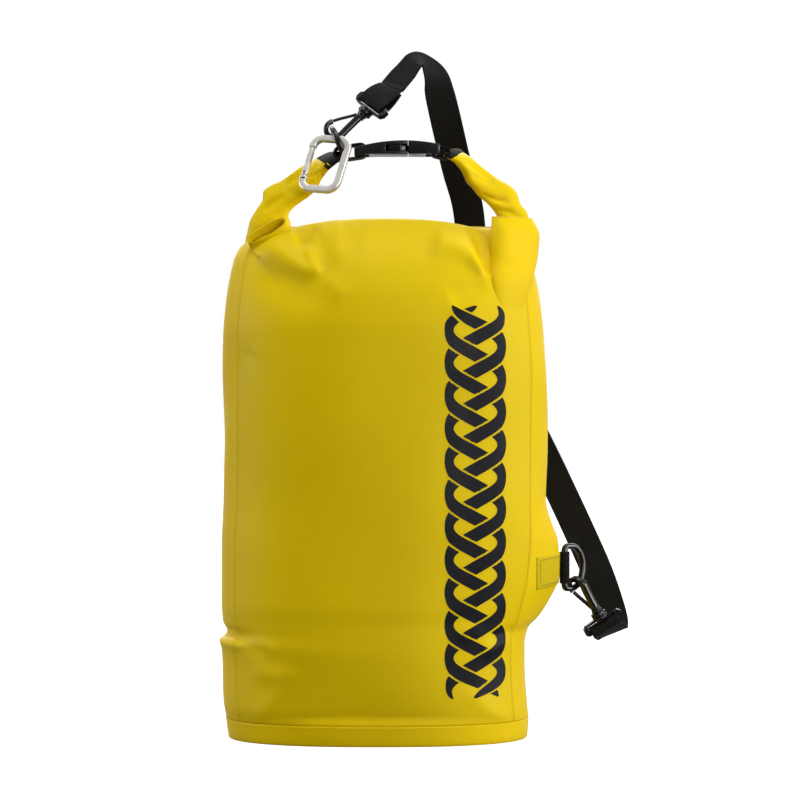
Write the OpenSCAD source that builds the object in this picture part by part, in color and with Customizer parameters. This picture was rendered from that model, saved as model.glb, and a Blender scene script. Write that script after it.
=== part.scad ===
// Roll-top dry bag (stuff sack) with a buckled carry handle, a small snap link
// and a detachable shoulder strap. Millimetres, +Z up, front of the bag towards -Y.
// The origin is the centre of the flat base.

/* [View] */

/* [Bag] */
// Height of the closed bag's shoulder above the floor
bag_h = 412; // [372:1:452]
// Thickness of the coated fabric panels
wall = 1.6; // [1.2:0.1:2.4]
// Height of the welded band turned up round the base
band_h = 15.5; // [10:0.5:20]

/* [Webbing and rings] */
// Width of the shoulder-strap webbing
web_w = 25.4; // [20:0.1:26]
// Thickness of the webbing
web_t = 1.8; // [1.2:0.1:2.2]
// Outer width of the two D-rings, along the straight bar
ring_w = 38.4; // [36:0.2:42]
// Outer depth of the D-rings, bar to crown
ring_h = 26; // [25:0.5:28]
// Thickness of the D-ring stock
ring_d = 4.6; // [4.4:0.1:5]

/* [Buckle] */
// Width of the side-release buckle
buckle_w = 34; // [32:0.5:36]
// Thickness of the buckle
buckle_t = 12; // [11.5:0.5:13]

/* [Snap link] */
// Overall length of the aluminium snap link
link_l = 51; // [48:1:54]
// Overall width of the snap link
link_w = 37; // [35:1:38]
// Thickness of the snap link's bar
link_t = 4; // [3.5:0.25:4.5]

/* [Hidden] */
gap = 0.3;            // running clearance between moving pieces
se_n = 3.5;           // squareness of the bag's rounded-rectangle section
steps = 60;           // points round a section
seam = 10;            // steps from a seam to the next one along a side gusset
k_top = bag_h / 412;  // the bag's rows are drawn for a 412 mm shoulder

// One row of the bag: height, left x, right x, front y, back y, drop at the back,
// drop at the sides, gusset bulge at the strap tab.
rows = [
  [wall, -119, 119, -88, 88, 0, 0, 0],
  [band_h, -121, 120, -90, 90, 0, 0, 0],
  [28, -123, 119, -92, 92, 0, 0, 0],
  [60, -124, 117, -93, 93, 0, 0, 0],
  [76, -125, 117, -94, 94, 0, 0, 0],
  [84, -123, 118, -94, 94, 0, 0, 2],
  [92, -124, 119, -94, 94, 0, 0, 6.5],
  [108, -125, 121.5, -95, 95, 0, 0, 14.5],
  [124, -125, 124, -95, 95, 0, 0, 19.5],
  [140, -125, 126.5, -95, 95, 0, 0, 18],
  [156, -125, 129, -95, 95, 0, 0, 15],
  [172, -124.5, 131.5, -95, 95, 0, 0, 7],
  [188, -124, 133, -95, 95, 0, 0, 1.5],
  [228, -124, 134, -95, 95, 0, 0, 0],
  [282, -124, 134, -94, 94, 0, 0, 0],
  [322, -123, 132.5, -92, 92, 0, 0, 0],
  [348, -121, 130, -87, 89, 0, 0, 0],
  [368, -118.5, 126.5, -79, 84, -1, 1, 0],
  [384, -114.5, 122, -69, 77, -3, 3, 0],
  [396, -109, 117, -58, 70, -8, 5, 0],
  [405, -103, 112, -46, 62, -13, 9, 0],
  [411, -97, 107, -34, 54, -18, 14, 0],
  [412, -93, 103, -20, 46, -20, 18, 0],
  [407, -90, 100, -6, 38, -15, 17, 0]];
gusset_y = -6;        // where the strap tab pulls the right gusset out
gusset_r = 56;        // half width of that pulled-out tent

// Arm stations: x, y, z, in-plane half width, half depth
arm_left_pts = [[-88, 20, 401.5, 6.4, 16.5], [-97, 20.5, 403, 7, 17],
  [-101, 21, 411, 10, 16.5], [-92.5, 22, 422, 12.5, 16], [-81, 22, 430.5, 12, 14.5],
  [-66, 21, 441.5, 11.3, 13.5], [-54, 20, 450.7, 10.5, 12]];
arm_right_pts = [[96, 20, 401.5, 6.4, 16.5], [106.5, 20.5, 403, 7, 17],
  [111.5, 21, 411, 10, 16.5], [105, 22, 422, 12.5, 16], [95.5, 22, 430.5, 12, 14.5],
  [83, 21, 442, 10.5, 13.5], [72.5, 19, 453.5, 8.5, 12.5]];
tab_left_pts = [[-52.3, 19.3, 452, 6, 12.3], [-44.5, 17, 457.5, 5, 12.5],
  [-37, 14.5, 461.6, 2.6, 12.7]];
tab_right_pts = [[71, 18.6, 454.8, 5, 12.3], [65, 16, 459.5, 4, 12.5],
  [58.8, 14, 463, 2.2, 12.7]];

bk = [20.5, 15, 466.5];             // buckle: centre of its lower face
ring_up = [-28, 14, 466.5];         // upper D-ring: centre of its straight bar
ring_up_x = [-0.40, 0, 0.917];
ring_lo = [149, -6, 134.3];         // lower D-ring: centre of its straight bar
ring_lo_x = [0.71, 0.704, 0];
link_top = [-36.25, 6.0, 477.1];    // snap link: centre of its top bar
link_e1 = [0.926, -0.361, 0.108];
link_e2 = [0.185, 0.376, 0.908];

snap_up = [-12.7, 21.9, 498.5];     // upper snap hook: swivel, shank and crossbar directions
snap_up_u = [-0.713, -0.148, -0.685];
snap_up_v = [0.76, -0.53, -0.38];
snap_up_n = [-0.658, 0.094, 0.747];
snap_lo = [175.6, 6.4, 98.7];      // lower snap hook
snap_lo_u = [-0.458, -0.27, 0.847];
snap_lo_v = [0.90, 0.14, 0.40];
snap_lo_n = [-0.71, 0.663, -0.238];
bowl_x = 25;                        // hook bowl: distance from the swivel, offset, radii
bowl_y = 6.5;
bowl_in = 5;
bowl_out = 9.2;
hook_t = 5.5;

// Shoulder strap: centre points and width directions, hook to hook
strap_pts = [[11.8, 37.8, 520], [23.5, 47.5, 530.8], [35, 56.5, 539.5], [44.5, 64, 540.5],
  [51, 72, 533], [54.5, 77, 514], [57.5, 83, 482], [62.5, 92, 447], [70, 99, 412],
  [80, 103.5, 367], [93, 104.5, 317], [108, 98, 279], [123.4, 84, 248.3],
  [144.7, 74, 204], [164.8, 62, 160], [178.8, 52, 127.2], [187, 45, 102.5],
  [190.3, 39.5, 89], [190.2, 35.2, 83.2]];
strap_w = [[0.769, -0.541, -0.338], [0.769, -0.541, -0.338], [0.80, -0.50, -0.33],
  [0.89, -0.36, -0.27], [0.96, -0.22, -0.10], [0.985, -0.1, 0.08], [0.99, 0, 0.1],
  [0.98, 0.05, 0.14], [0.97, 0.05, 0.2], [0.96, 0, 0.26], [0.94, -0.1, 0.33],
  [0.9, -0.22, 0.38], [0.89, -0.2, 0.42], [0.9, -0.05, 0.44], [0.91, 0, 0.42],
  [0.93, 0, 0.37], [0.94, 0, 0.35], [0.94, 0, 0.35], [0.94, 0, 0.35]];

function unit(v) = v / norm(v);
function flat_to(v, u) = unit(v - (v * u) * u);
function sgn(v) = v < 0 ? -1 : 1;
function se(c) = sgn(c) * pow(abs(c), 2 / se_n);
function mix(a, b, t) = a + (b - a) * t;

// Catmull-Rom through a list of points, n steps a span
function cr(a, b, c, d, t) = 0.5 * ((2 * b) + (c - a) * t
  + (2 * a - 5 * b + 4 * c - d) * t * t + (3 * b - a - 3 * c + d) * t * t * t);
function smooth(p, n) = [for (i = [0 : len(p) - 2]) for (k = [0 : n - 1])
  cr(p[max(i - 1, 0)], p[i], p[i + 1], p[min(i + 2, len(p) - 1)], k / n),
  p[len(p) - 1]];

// Point i of a bag row, set in by t
function tent(r, x, y, c) = c > 0 ? r[7] * max(0, 1 - abs(y - gusset_y) / gusset_r) : 0;
function bag_pt(r, i, t) =
  let (a = -150 + i * 360 / steps, c = cos(a), s = sin(a))
  let (hx = (r[2] - r[1]) / 2 - t, hy = (r[4] - r[3]) / 2 - t)
  let (x = (r[1] + r[2]) / 2 + hx * se(c), y = (r[3] + r[4]) / 2 + hy * se(s))
  let (low = r[0] > 362 ? t * min(1, (r[0] - 362) / 30) : 0)
  [x + tent(r, x, y, c), y,
    (r[0] + r[5] * (se(s) + 1) / 2 - r[6] * pow(abs(se(c)), 3) - low) * (r[0] > 50 ? k_top : 1)];

// A thin panel of the bag between section points i0 and i1 and rows r0 to r1
module panel(i0, i1, r0, r1, t_out, t_in) {
  n = i1 - i0 + 1;
  m = r1 - r0 + 1;
  q = n * m;
  pts = concat(
    [for (k = [r0 : r1]) for (i = [i0 : i1]) bag_pt(rows[k], i, t_out)],
    [for (k = [r0 : r1]) for (i = [i0 : i1]) bag_pt(rows[k], i, t_in)]);
  quads = concat(
    [for (k = [0 : m - 2]) for (i = [0 : n - 2])
      [k * n + i, k * n + i + 1, k * n + n + i + 1, k * n + n + i]],
    [for (k = [0 : m - 2]) for (i = [0 : n - 2])
      [q + k * n + i, q + k * n + n + i, q + k * n + n + i + 1, q + k * n + i + 1]],
    [for (i = [0 : n - 2]) [i, q + i, q + i + 1, i + 1]],
    [for (i = [0 : n - 2]) let (b = (m - 1) * n) [b + i, b + i + 1, q + b + i + 1, q + b + i]],
    [for (k = [0 : m - 2]) [k * n, k * n + n, q + k * n + n, q + k * n]],
    [for (k = [0 : m - 2]) let (e = n - 1)
      [k * n + e, q + k * n + e, q + k * n + n + e, k * n + n + e]]);
  polyhedron(pts, [for (f = quads) for (h = [0, 1])
    h == 0 ? [f[2], f[1], f[0]] : [f[3], f[2], f[0]]]);
}

// Closed solid through equal rings, with a fan at each end
module skin(rings) {
  n = len(rings[0]);
  m = len(rings);
  pts = concat([for (r = rings) for (p = r) p], [mean(rings[0]), mean(rings[m - 1])]);
  polyhedron(pts, concat(
    [for (k = [0 : m - 2]) for (i = [0 : n - 1]) let (j = (i + 1) % n)
      [k * n + i, k * n + n + j, k * n + j]],
    [for (k = [0 : m - 2]) for (i = [0 : n - 1]) let (j = (i + 1) % n)
      [k * n + i, k * n + n + i, k * n + n + j]],
    [for (i = [0 : n - 1]) [m * n, i, (i + 1) % n]],
    [for (i = [0 : n - 1]) [m * n + 1, (m - 1) * n + (i + 1) % n, (m - 1) * n + i]]));
}
function mean(r) = [for (c = [0 : 2]) sum([for (p = r) p[c]]) / len(r)];
function sum(v, i = 0) = i == len(v) ? 0 : v[i] + sum(v, i + 1);

// Flattened oval rings along arm stations (the path lies in planes of constant depth)
function arm_ring(p, i) =
  let (a = p[max(i - 1, 0)], b = p[min(i + 1, len(p) - 1)], s = p[i])
  let (d = unit([b[0] - a[0], 0, b[2] - a[2]]), w = [-d[2], 0, d[0]])
  [for (k = [0 : 15]) let (c = k * 22.5,
    u = sgn(cos(c)) * pow(abs(cos(c)), 0.7), v = sgn(sin(c)) * pow(abs(sin(c)), 0.7))
    [s[0], s[1], s[2]] + w * s[3] * u + [0, 1, 0] * s[4] * v];
function rev(l) = [for (i = [len(l) - 1 : -1 : 0]) l[i]];
module arm(p, n) {
  q = smooth(p, n);
  skin([for (i = [0 : len(q) - 1]) rev(arm_ring(q, i))]);
}

// Ribbon through centre points p with width directions w
function tangent(p, i) = unit(p[min(i + 1, len(p) - 1)] - p[max(i - 1, 0)]);
function web_ring(p, w, i, t) =
  let (d = tangent(p, i), a = flat_to(w[i], d) * web_w / 2, b = cross(d, flat_to(w[i], d)) * t / 2)
  [p[i] - a - b, p[i] + a - b, p[i] + a + b, p[i] - a + b];
module ribbon(p, w, n, t) {
  q = smooth(p, n);
  v = smooth(w, n);
  skin([for (i = [0 : len(q) - 1]) web_ring(q, v, i, t)]);
}

// Puts local x along ex, local y along ey and z square to both
module place(p, ex, ey) {
  a = unit(ex);
  b = flat_to(ey, a);
  c = cross(a, b);
  multmatrix([[a[0], b[0], c[0], p[0]], [a[1], b[1], c[1], p[1]],
    [a[2], b[2], c[2], p[2]], [0, 0, 0, 1]]) children();
}

// ---- bag ----
module base_panel() color("gold") panel_disc();
function base_pt(i, t, z) = let (p = bag_pt(rows[0], i, t)) [p[0], p[1], z];
module panel_disc() skin([[for (i = [0 : steps - 1]) base_pt(i, 0, 0)],
  [for (i = [0 : steps - 1]) base_pt(i, 0, wall)]]);
function band_ring(t, k) = [for (i = [0 : steps - 1]) let (p = bag_pt(rows[k], i, t))
  [p[0], p[1], k == 0 ? 0 : p[2]]];
module base_weld_band() color("goldenrod") {
  n = steps;
  a = band_ring(-1, 0);
  b = band_ring(-1, 1);
  c = band_ring(0, 1);
  e = [for (i = [0 : n - 1]) bag_pt(rows[0], i, 0)];
  d = band_ring(0, 0);
  pts = concat(a, b, c, e, d);
  polyhedron(pts, [for (k = [0 : 4]) for (i = [0 : n - 1]) for (h = [0, 1])
    let (j = (i + 1) % n, k2 = (k + 1) % 5)
    h == 0 ? [k2 * n + i, k * n + j, k * n + i] : [k2 * n + i, k2 * n + j, k * n + j]]);
}
last = len(rows) - 1;
module front_panel() color("gold") panel(0, 2 * seam, 0, last, 0, wall);
module side_panel_right() color("yellow") panel(2 * seam, 3 * seam, 0, last, 0, wall);
module back_panel() color("gold") panel(3 * seam, 5 * seam, 0, last, 0, wall);
module side_panel_left() color("yellow") panel(5 * seam, 6 * seam, 0, last, 0, wall);
module rolled_top() color("gold") {
  skin([for (x = [-87.7, -60, 0, 60, 95.7]) [for (k = [0 : 23]) let (c = k * 15,
    r = abs(x) > 80 ? 0.94 : 1)
    [x, 20 + 17 * r * cos(c), 401.5 * k_top + 6.6 * r * sin(c)]]]);
}
module raised() translate([0, 0, bag_h - 412]) children();
module arm_left() color("gold") raised() arm(arm_left_pts, 3);
module arm_right() color("gold") raised() arm(arm_right_pts, 3);
module closure_tab_left() color("dimgray") raised() {
  arm(tab_left_pts, 2);
  loop_strap([-30, 14, 465.9], [-14.2, 14, 468.2], 6);
}
module closure_tab_right() color("dimgray") raised() {
  arm(tab_right_pts, 2);
  loop_strap([53.6, 14, 466], [46.6, 14, 467.6], 4.6);
}
// Webbing folded round a bar at each end: a flat ring seen from the front
module loop_strap(a, b, r)
  rotate([90, 0, 0]) translate([0, 0, -a[1] - web_w / 2]) linear_extrude(web_w)
    difference() {
      loop_2d(a, b, r);
      loop_2d(a, b, r - 1.4);
    }
module loop_2d(a, b, r) {
  d = unit(b - a);
  s = [-d[2], d[0]] * r;
  polygon(concat([for (k = [0 : 8]) [a[0], a[2]] + rot2([d[0], d[2]], 90 + k * 22.5) * r],
    [for (k = [0 : 8]) [b[0], b[2]] + rot2([d[0], d[2]], -90 + k * 22.5) * r]));
}
function rot2(v, a) = [v[0] * cos(a) - v[1] * sin(a), v[0] * sin(a) + v[1] * cos(a)];

// ---- side-release buckle, drawn as a front view and extruded in depth ----
function arch(x) = (buckle_t - 2.7) * (1 - pow((x - bk[0]) / 46, 2) * 0.85);
function foot(x) = abs(x - bk[0]) < 22 ? -1.6 : -1.6 - 2.2 * pow((abs(x - bk[0]) - 22) / 20, 2);
module slab(x0, x1, w) {
  n = 8;
  rotate([90, 0, 0]) translate([0, bk[2], -bk[1] - w / 2]) linear_extrude(w)
    polygon(concat(
      [for (i = [0 : n]) let (x = mix(x0, x1, i / n)) [x, foot(x)]],
      [for (i = [n : -1 : 0]) let (x = mix(x0, x1, i / n)) [x, arch(x)]]));
}
module block(x0, x1, y0, y1, z0, z1)
  translate([x0, bk[1] + y0, bk[2] + z0]) cube([x1 - x0, y1 - y0, z1 - z0]);
cav0 = 0.2;
cav1 = 6.4;
module bar(x, z) translate([x, bk[1] + 15, bk[2] + z]) rotate([90, 0, 0])
  cylinder(r = 2.3, h = 30, $fn = 32);
module buckle_socket() color("black") raised() {
  bar(-14.2, 1.7);
  socket_shell();
}
module socket_shell() difference() {
  slab(-19, 24, buckle_w);
  block(-21, -7.5, -web_w / 2 - 1, web_w / 2 + 1, -20, 20);
  block(-3, 25, -14.4, 14.4, cav0, cav1);
  block(6, 25, -20, 20, cav0, cav1);
}
module buckle_plug() color("black") raised() {
  difference() {
    slab(24.3, 49.5, buckle_w);
    block(38.5, 50, -web_w / 2 - 1, web_w / 2 + 1, -20, 20);
  }
  bar(46.6, 1.1);
  block(-2, 24.3, -2.6, 2.6, cav0 + gap, cav1 - gap);
}
module prong() {
  z0 = cav0 + gap;
  translate([0, bk[1], bk[2] + z0]) linear_extrude(cav1 - gap - z0)
    polygon([[24, 7.6], [24, 10.8], [18.5, 11.4], [18.5, 16.8], [10, 15.4], [6.5, 12.5],
      [5.5, 9.8], [7, 8.6], [14, 8.6]]);
}
module buckle_prong_front() color("dimgray") raised()
  translate([0, 2 * bk[1], 0]) mirror([0, 1, 0]) prong();
module buckle_prong_rear() color("dimgray") raised() prong();

// ---- D-rings ----
function dee(off) = let (w = ring_w / 2 - off, h0 = -ring_d / 2 + off, h1 = ring_h - ring_d / 2 - off)
  let (x0 = ring_h * 0.3)
  let (q = max(1.2, 5 - off))
  concat([[h0, -w + q], [h0, w - q], [h0 + q * 0.3, w - q * 0.3], [h0 + q, w]],
    [for (k = [0 : 16]) let (a = 90 - k * 11.25) [x0 + (h1 - x0) * cos(a), w * sin(a)]],
    [[h0 + q, -w], [h0 + q * 0.3, -w + q * 0.3]]);
module dring() translate([0, 0, -2.5]) linear_extrude(5) difference() {
  polygon(dee(0));
  polygon(dee(ring_d));
}
module d_ring_upper() color("black") raised() place(ring_up, ring_up_x, [0, 1, 0]) dring();
module d_ring_lower() color("black") place(ring_lo, ring_lo_x, [0, 0, 1]) dring();
module lower_tab() color("olive") {
  // a stitched patch on the gusset and a loop round the ring's bar
  h = web_w;
  translate([0, 0, ring_lo[2] - h / 2]) linear_extrude(h) {
    difference() {
      translate([ring_lo[0], ring_lo[1]]) circle(r = 5.2, $fn = 32);
      translate([ring_lo[0], ring_lo[1]]) circle(r = 4, $fn = 32);
    }
    polygon([[145.4, -9], [146.6, -10], [134.2, -51.5], [132.8, -51]]);
  }
}

// ---- snap link ----
module link_outline(off) {
  w = link_w / 2 - off;
  h = link_l / 2 - off;
  r = 10.5 - off;
  polygon(concat(
    [for (k = [0 : 6]) [w - r, h - r] + r * [cos(k * 15), sin(k * 15)]],
    [for (k = [6 : 12]) [-w + r, h - r] + r * [cos(k * 15), sin(k * 15)]],
    [for (k = [12 : 18]) [-w + r, -h + r] + r * [cos(k * 15), sin(k * 15)]],
    [for (k = [18 : 24]) [w - r, -h + r] + r * [cos(k * 15), sin(k * 15)]]));
}
link_b = 5.8;         // width of the link's bar in its own plane
gate_y0 = -link_l / 2 + 13.5;
gate_y1 = link_l / 2 - 11.5;
gate_x = -link_w / 2;
module at_link() raised()
  place(link_top - flat_to(link_e2, unit(link_e1)) * (link_l - link_b) / 2,
    link_e1, link_e2) children();
module snap_link_frame() color("silver") at_link()
  translate([0, 0, -link_t / 2]) linear_extrude(link_t) difference() {
    link_outline(0);
    link_outline(link_b);
    translate([gate_x - 1, gate_y0]) square([link_b + 2, gate_y1 - gate_y0]);
  }
module snap_link_gate() color("gray") at_link() difference() {
  translate([gate_x, gate_y0 + 3.2, -link_t / 2 + 0.3]) linear_extrude(link_t - 0.6)
    polygon([[0.4, 0], [1.2, -2], [2, -2.5], [4.2, -2.5], [5, -2], [5.6, 0],
      [5.6, gate_y1 - gate_y0 - 3.9],
      [0.4, gate_y1 - gate_y0 - 3.9]]);
  translate([gate_x + 3.1, gate_y0 + 3.2, -5]) cylinder(r = 1.3, h = 10, $fn = 32);
}
module snap_link_rivet() color("dimgray") at_link()
  translate([gate_x + 3.1, gate_y0 + 3.2, -link_t / 2]) cylinder(r = 1.1, h = link_t, $fn = 32);

// ---- swivel snap hooks ----
module snap_base() {
  difference() {
    translate([0, 0, -2.3]) linear_extrude(4.6) difference() {
      polygon([[-15.2, -15], [-13.6, -17], [-9, -17], [-6, -14.5], [-5.4, -6], [-3, -5],
        [-3, 5], [-5.4, 6], [-6, 14.5], [-9, 17], [-13.6, 17], [-15.2, 15]]);
      translate([-11.6, -web_w / 2 - 0.6]) square([4.4, web_w + 1.2]);
    }
    rotate([0, 90, 0]) translate([0, 0, -7.4]) cylinder(r = 2.9, h = 9, $fn = 32);
  }
  difference() {
    translate([-6.6, 0, 0]) rotate([0, 90, 0]) cylinder(r = 5, h = 6.3, $fn = 32);
    translate([-8, 0, 0]) rotate([0, 90, 0]) cylinder(r = 2.9, h = 9, $fn = 32);
  }
}
module snap_hook() {
  translate([-6.2, 0, 0]) rotate([0, 90, 0]) cylinder(r = 2.4, h = 6.6, $fn = 32);
  rotate([0, 90, 0]) cylinder(r = 4.3, h = 3, $fn = 32);
  translate([0, 0, -hook_t / 2]) linear_extrude(hook_t) difference() {
    union() {
      translate([2.5, -2.6]) square([bowl_x - 2.5, 5]);
      translate([2.5, -2.6]) square([4, bowl_y + bowl_out + 0.6]);
      translate([bowl_x, bowl_y]) circle(r = bowl_out, $fn = 48);
    }
    translate([bowl_x, bowl_y]) circle(r = bowl_in, $fn = 48);
    translate([6.5, bowl_y - bowl_in + 0.7]) square([bowl_x - 6.5, 2 * bowl_in - 1.4]);
    translate([6.5, bowl_y + bowl_in - 2]) square([bowl_x - 10, bowl_out]);
  }
}
module snap_gate() translate([0, 0, -hook_t / 2 + 0.4]) linear_extrude(hook_t - 0.8)
  polygon([[7, bowl_y + 4.6], [7, bowl_y + 6.9], [bowl_x - 3.9, bowl_y + 6.4],
    [bowl_x - 3.9, bowl_y + 4.6]]);
module up_base() raised() place(snap_up, snap_up_u, snap_up_v) children();
module up_hook() raised() place(snap_up, snap_up_u, snap_up_n) children();
module lo_base() place(snap_lo, snap_lo_u, snap_lo_v) children();
module lo_hook() place(snap_lo, snap_lo_u, snap_lo_n) children();
module upper_snap_base() color("black") up_base() snap_base();
module upper_snap_hook() color("black") up_hook() snap_hook();
module upper_snap_gate() color("dimgray") up_hook() snap_gate();
module lower_snap_base() color("black") lo_base() snap_base();
module lower_snap_hook() color("black") lo_hook() snap_hook();
module lower_snap_gate() color("dimgray") lo_hook() snap_gate();

// ---- shoulder strap ----
module strap_main() color("black") raised() ribbon(strap_pts, strap_w, 3, web_t);
function bar_of(s, u) = s - unit(u) * 13.6;
module strap_end(s, u, v, far, w_far) {
  a = bar_of(s, u);
  b = flat_to(v, unit(u));
  d = -flat_to(far - a, b);
  n = cross(d, b);
  // down one face of the crossbar, round it and back up the other
  p = [far + n * 1.7, mix(a, far, 0.45) + n * 3.6, a + n * 4.2 + d * 0.4, a + d * 4.3 + n * 1.5,
    a + d * 4.3 - n * 1.5, a - n * 4.2 + d * 0.4, mix(a, far, 0.45) - n * 3.6, far - n * 1.7];
  ribbon(p, [for (i = [0 : 7]) i == 0 || i == 7 ? w_far : b], 3, web_t);
}
module strap_end_upper() color("black") raised()
  strap_end(snap_up, snap_up_u, snap_up_v, strap_pts[0] - unit(strap_pts[1] - strap_pts[0]) * 1.2,
    strap_w[0]);
module strap_end_lower() color("black")
  strap_end(snap_lo, snap_lo_u, snap_lo_v, strap_pts[len(strap_pts) - 1]
    + unit(strap_pts[len(strap_pts) - 1] - strap_pts[len(strap_pts) - 2]) * 2.8,
    strap_w[len(strap_w) - 1]);
slide_i = 9;          // the slider sits at this strap point, behind the bag
module strap_slider() color("black") raised()
  place(strap_pts[slide_i], strap_w[slide_i], strap_pts[slide_i + 1] - strap_pts[slide_i - 1])
  difference() {
    cube([web_w + 9, 20, 7], center = true);
    cube([web_w + 2, 21, 4], center = true);
    translate([0, 4.6, 0]) cube([web_w + 1, 5, 8], center = true);
    translate([0, -4.6, 0]) cube([web_w + 1, 5, 8], center = true);
  }

base_panel();
base_weld_band();
front_panel();
back_panel();
side_panel_left();
side_panel_right();
rolled_top();
arm_left();
arm_right();
closure_tab_left();
closure_tab_right();
buckle_socket();
buckle_plug();
buckle_prong_front();
buckle_prong_rear();
d_ring_upper();
d_ring_lower();
lower_tab();
snap_link_frame();
snap_link_gate();
snap_link_rivet();
upper_snap_base();
upper_snap_hook();
upper_snap_gate();
lower_snap_base();
lower_snap_hook();
lower_snap_gate();
strap_main();
strap_end_upper();
strap_end_lower();
strap_slider();
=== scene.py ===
import math
import bmesh
import bpy
import numpy as np
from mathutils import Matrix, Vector
from mathutils.bvhtree import BVHTree


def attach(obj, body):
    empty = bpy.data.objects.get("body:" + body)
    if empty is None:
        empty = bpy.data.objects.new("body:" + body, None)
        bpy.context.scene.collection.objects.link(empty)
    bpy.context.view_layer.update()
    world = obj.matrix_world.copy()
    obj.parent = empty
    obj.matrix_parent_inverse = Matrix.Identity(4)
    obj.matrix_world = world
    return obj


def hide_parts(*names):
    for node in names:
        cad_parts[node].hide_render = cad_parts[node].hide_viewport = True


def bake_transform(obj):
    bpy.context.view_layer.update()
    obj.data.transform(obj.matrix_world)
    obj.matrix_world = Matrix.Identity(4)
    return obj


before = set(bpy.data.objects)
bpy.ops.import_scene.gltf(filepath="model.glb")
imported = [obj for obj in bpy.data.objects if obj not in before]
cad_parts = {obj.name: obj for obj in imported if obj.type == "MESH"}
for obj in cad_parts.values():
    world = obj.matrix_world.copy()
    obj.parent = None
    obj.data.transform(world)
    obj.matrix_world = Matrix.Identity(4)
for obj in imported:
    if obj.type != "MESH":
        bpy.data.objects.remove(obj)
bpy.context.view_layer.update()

MM = 0.001
TURN = 2 * math.pi
scene = bpy.context.scene


# ---------------- camera, light, floor
def point_at(obj, target):
    direction = Vector(target) - obj.location
    obj.rotation_euler = direction.to_track_quat("-Z", "Y").to_euler()


def add_camera(lens=137.8, distance=2.45, across=0.0176, height=0.268):
    """Level, straight in front of the bag, a little right of its middle."""
    cam = bpy.data.objects.new("camera", bpy.data.cameras.new("camera"))
    scene.collection.objects.link(cam)
    cam.location = (across, -distance, height)
    cam.rotation_euler = (math.pi / 2, 0, 0)
    cam.data.lens = lens
    cam.data.sensor_width = 36
    cam.data.dof.use_dof = False
    scene.camera = cam


def add_sun(name, azimuth, elevation, strength, angle, distance=3):
    """A broad, distant soft light. Azimuth 0 is in front of the bag, 90 to its right."""
    lamp = bpy.data.objects.new(name, bpy.data.lights.new(name, "SUN"))
    scene.collection.objects.link(lamp)
    a, e = math.radians(azimuth), math.radians(elevation)
    lamp.location = (distance * math.sin(a) * math.cos(e), -distance * math.cos(a) * math.cos(e),
                     distance * math.sin(e))
    point_at(lamp, (0, 0, 0))
    lamp.data.energy = strength
    lamp.data.angle = math.radians(angle)


def add_world(seen, lighting, glossy_share, bright_side=(0.0, 0.45, 0.89)):
    """White to the camera and dim as a light. Shiny surfaces see part of the white, most of it
    in the direction of bright_side: above the bag and behind it."""
    world = bpy.data.worlds.new("studio")
    scene.world = world
    world.use_nodes = True
    nt = world.node_tree
    nt.nodes.clear()

    def new(kind):
        return nt.nodes.new("ShaderNode" + kind)

    backgrounds = []
    for strength in (lighting, seen):
        backgrounds.append(new("Background"))
        backgrounds[-1].inputs["Strength"].default_value = strength
        backgrounds[-1].inputs["Color"].default_value = (1, 1, 1, 1)
    towards, path, out, mix = new("TexCoord"), new("LightPath"), new("OutputWorld"), new("MixShader")
    height = new("VectorMath")
    height.operation = "DOT_PRODUCT"
    height.inputs[1].default_value = bright_side
    ceiling = new("MapRange")
    ceiling.inputs["From Min"].default_value = -0.35
    ceiling.inputs["From Max"].default_value = 0.65
    ceiling.inputs["To Min"].default_value = 0.12
    only_glossy = new("Math")
    only_glossy.operation = "MULTIPLY"
    seen_by = new("Math")
    seen_by.operation = "MULTIPLY_ADD"
    seen_by.use_clamp = True
    seen_by.inputs[1].default_value = glossy_share
    for source, target in ((towards.outputs["Generated"], height.inputs[0]),
                           (height.outputs["Value"], ceiling.inputs["Value"]),
                           (ceiling.outputs["Result"], only_glossy.inputs[0]),
                           (path.outputs["Is Glossy Ray"], only_glossy.inputs[1]),
                           (only_glossy.outputs[0], seen_by.inputs[0]),
                           (path.outputs["Is Camera Ray"], seen_by.inputs[2]),
                           (seen_by.outputs[0], mix.inputs["Fac"]),
                           (backgrounds[0].outputs[0], mix.inputs[1]),
                           (backgrounds[1].outputs[0], mix.inputs[2]),
                           (mix.outputs[0], out.inputs[0])):
        nt.links.new(source, target)


def add_floor(reach=9, glow=0.72):
    mesh = bpy.data.meshes.new("floor")
    mesh.from_pydata([(-reach, -reach, 0), (reach, -reach, 0), (reach, reach, 0), (-reach, reach, 0)],
                     [], [(0, 1, 2, 3)])
    floor = bpy.data.objects.new("floor", mesh)
    scene.collection.objects.link(floor)
    mat = bpy.data.materials.new("floor")
    mat.use_nodes = True
    bsdf = mat.node_tree.nodes["Principled BSDF"]
    bsdf.inputs["Base Color"].default_value = (0.62, 0.62, 0.62, 1)
    bsdf.inputs["Roughness"].default_value = 0.9
    bsdf.inputs["Specular IOR Level"].default_value = 0
    bsdf.inputs["Emission Color"].default_value = (1, 1, 1, 1)
    bsdf.inputs["Emission Strength"].default_value = glow
    mesh.materials.append(mat)
    # the floor shows and takes shadows, but doesn't throw its own white light on the bag
    floor.visible_diffuse = False
    floor.visible_glossy = False


scene.view_settings.view_transform = "Standard"
scene.view_settings.look = "None"
add_camera()
add_world(seen=1.0, lighting=0.07, glossy_share=0.75)
for sun in (("key_side", 84, 8, 2.25, 30), ("key_front", 30, 6, 1.65, 30), ("top", 0, 78, 1.6, 40),
            ("fill", -95, 14, 1.5, 30), ("back", 178, 25, 1.6, 50)):
    add_sun(*sun)
add_floor()


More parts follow.
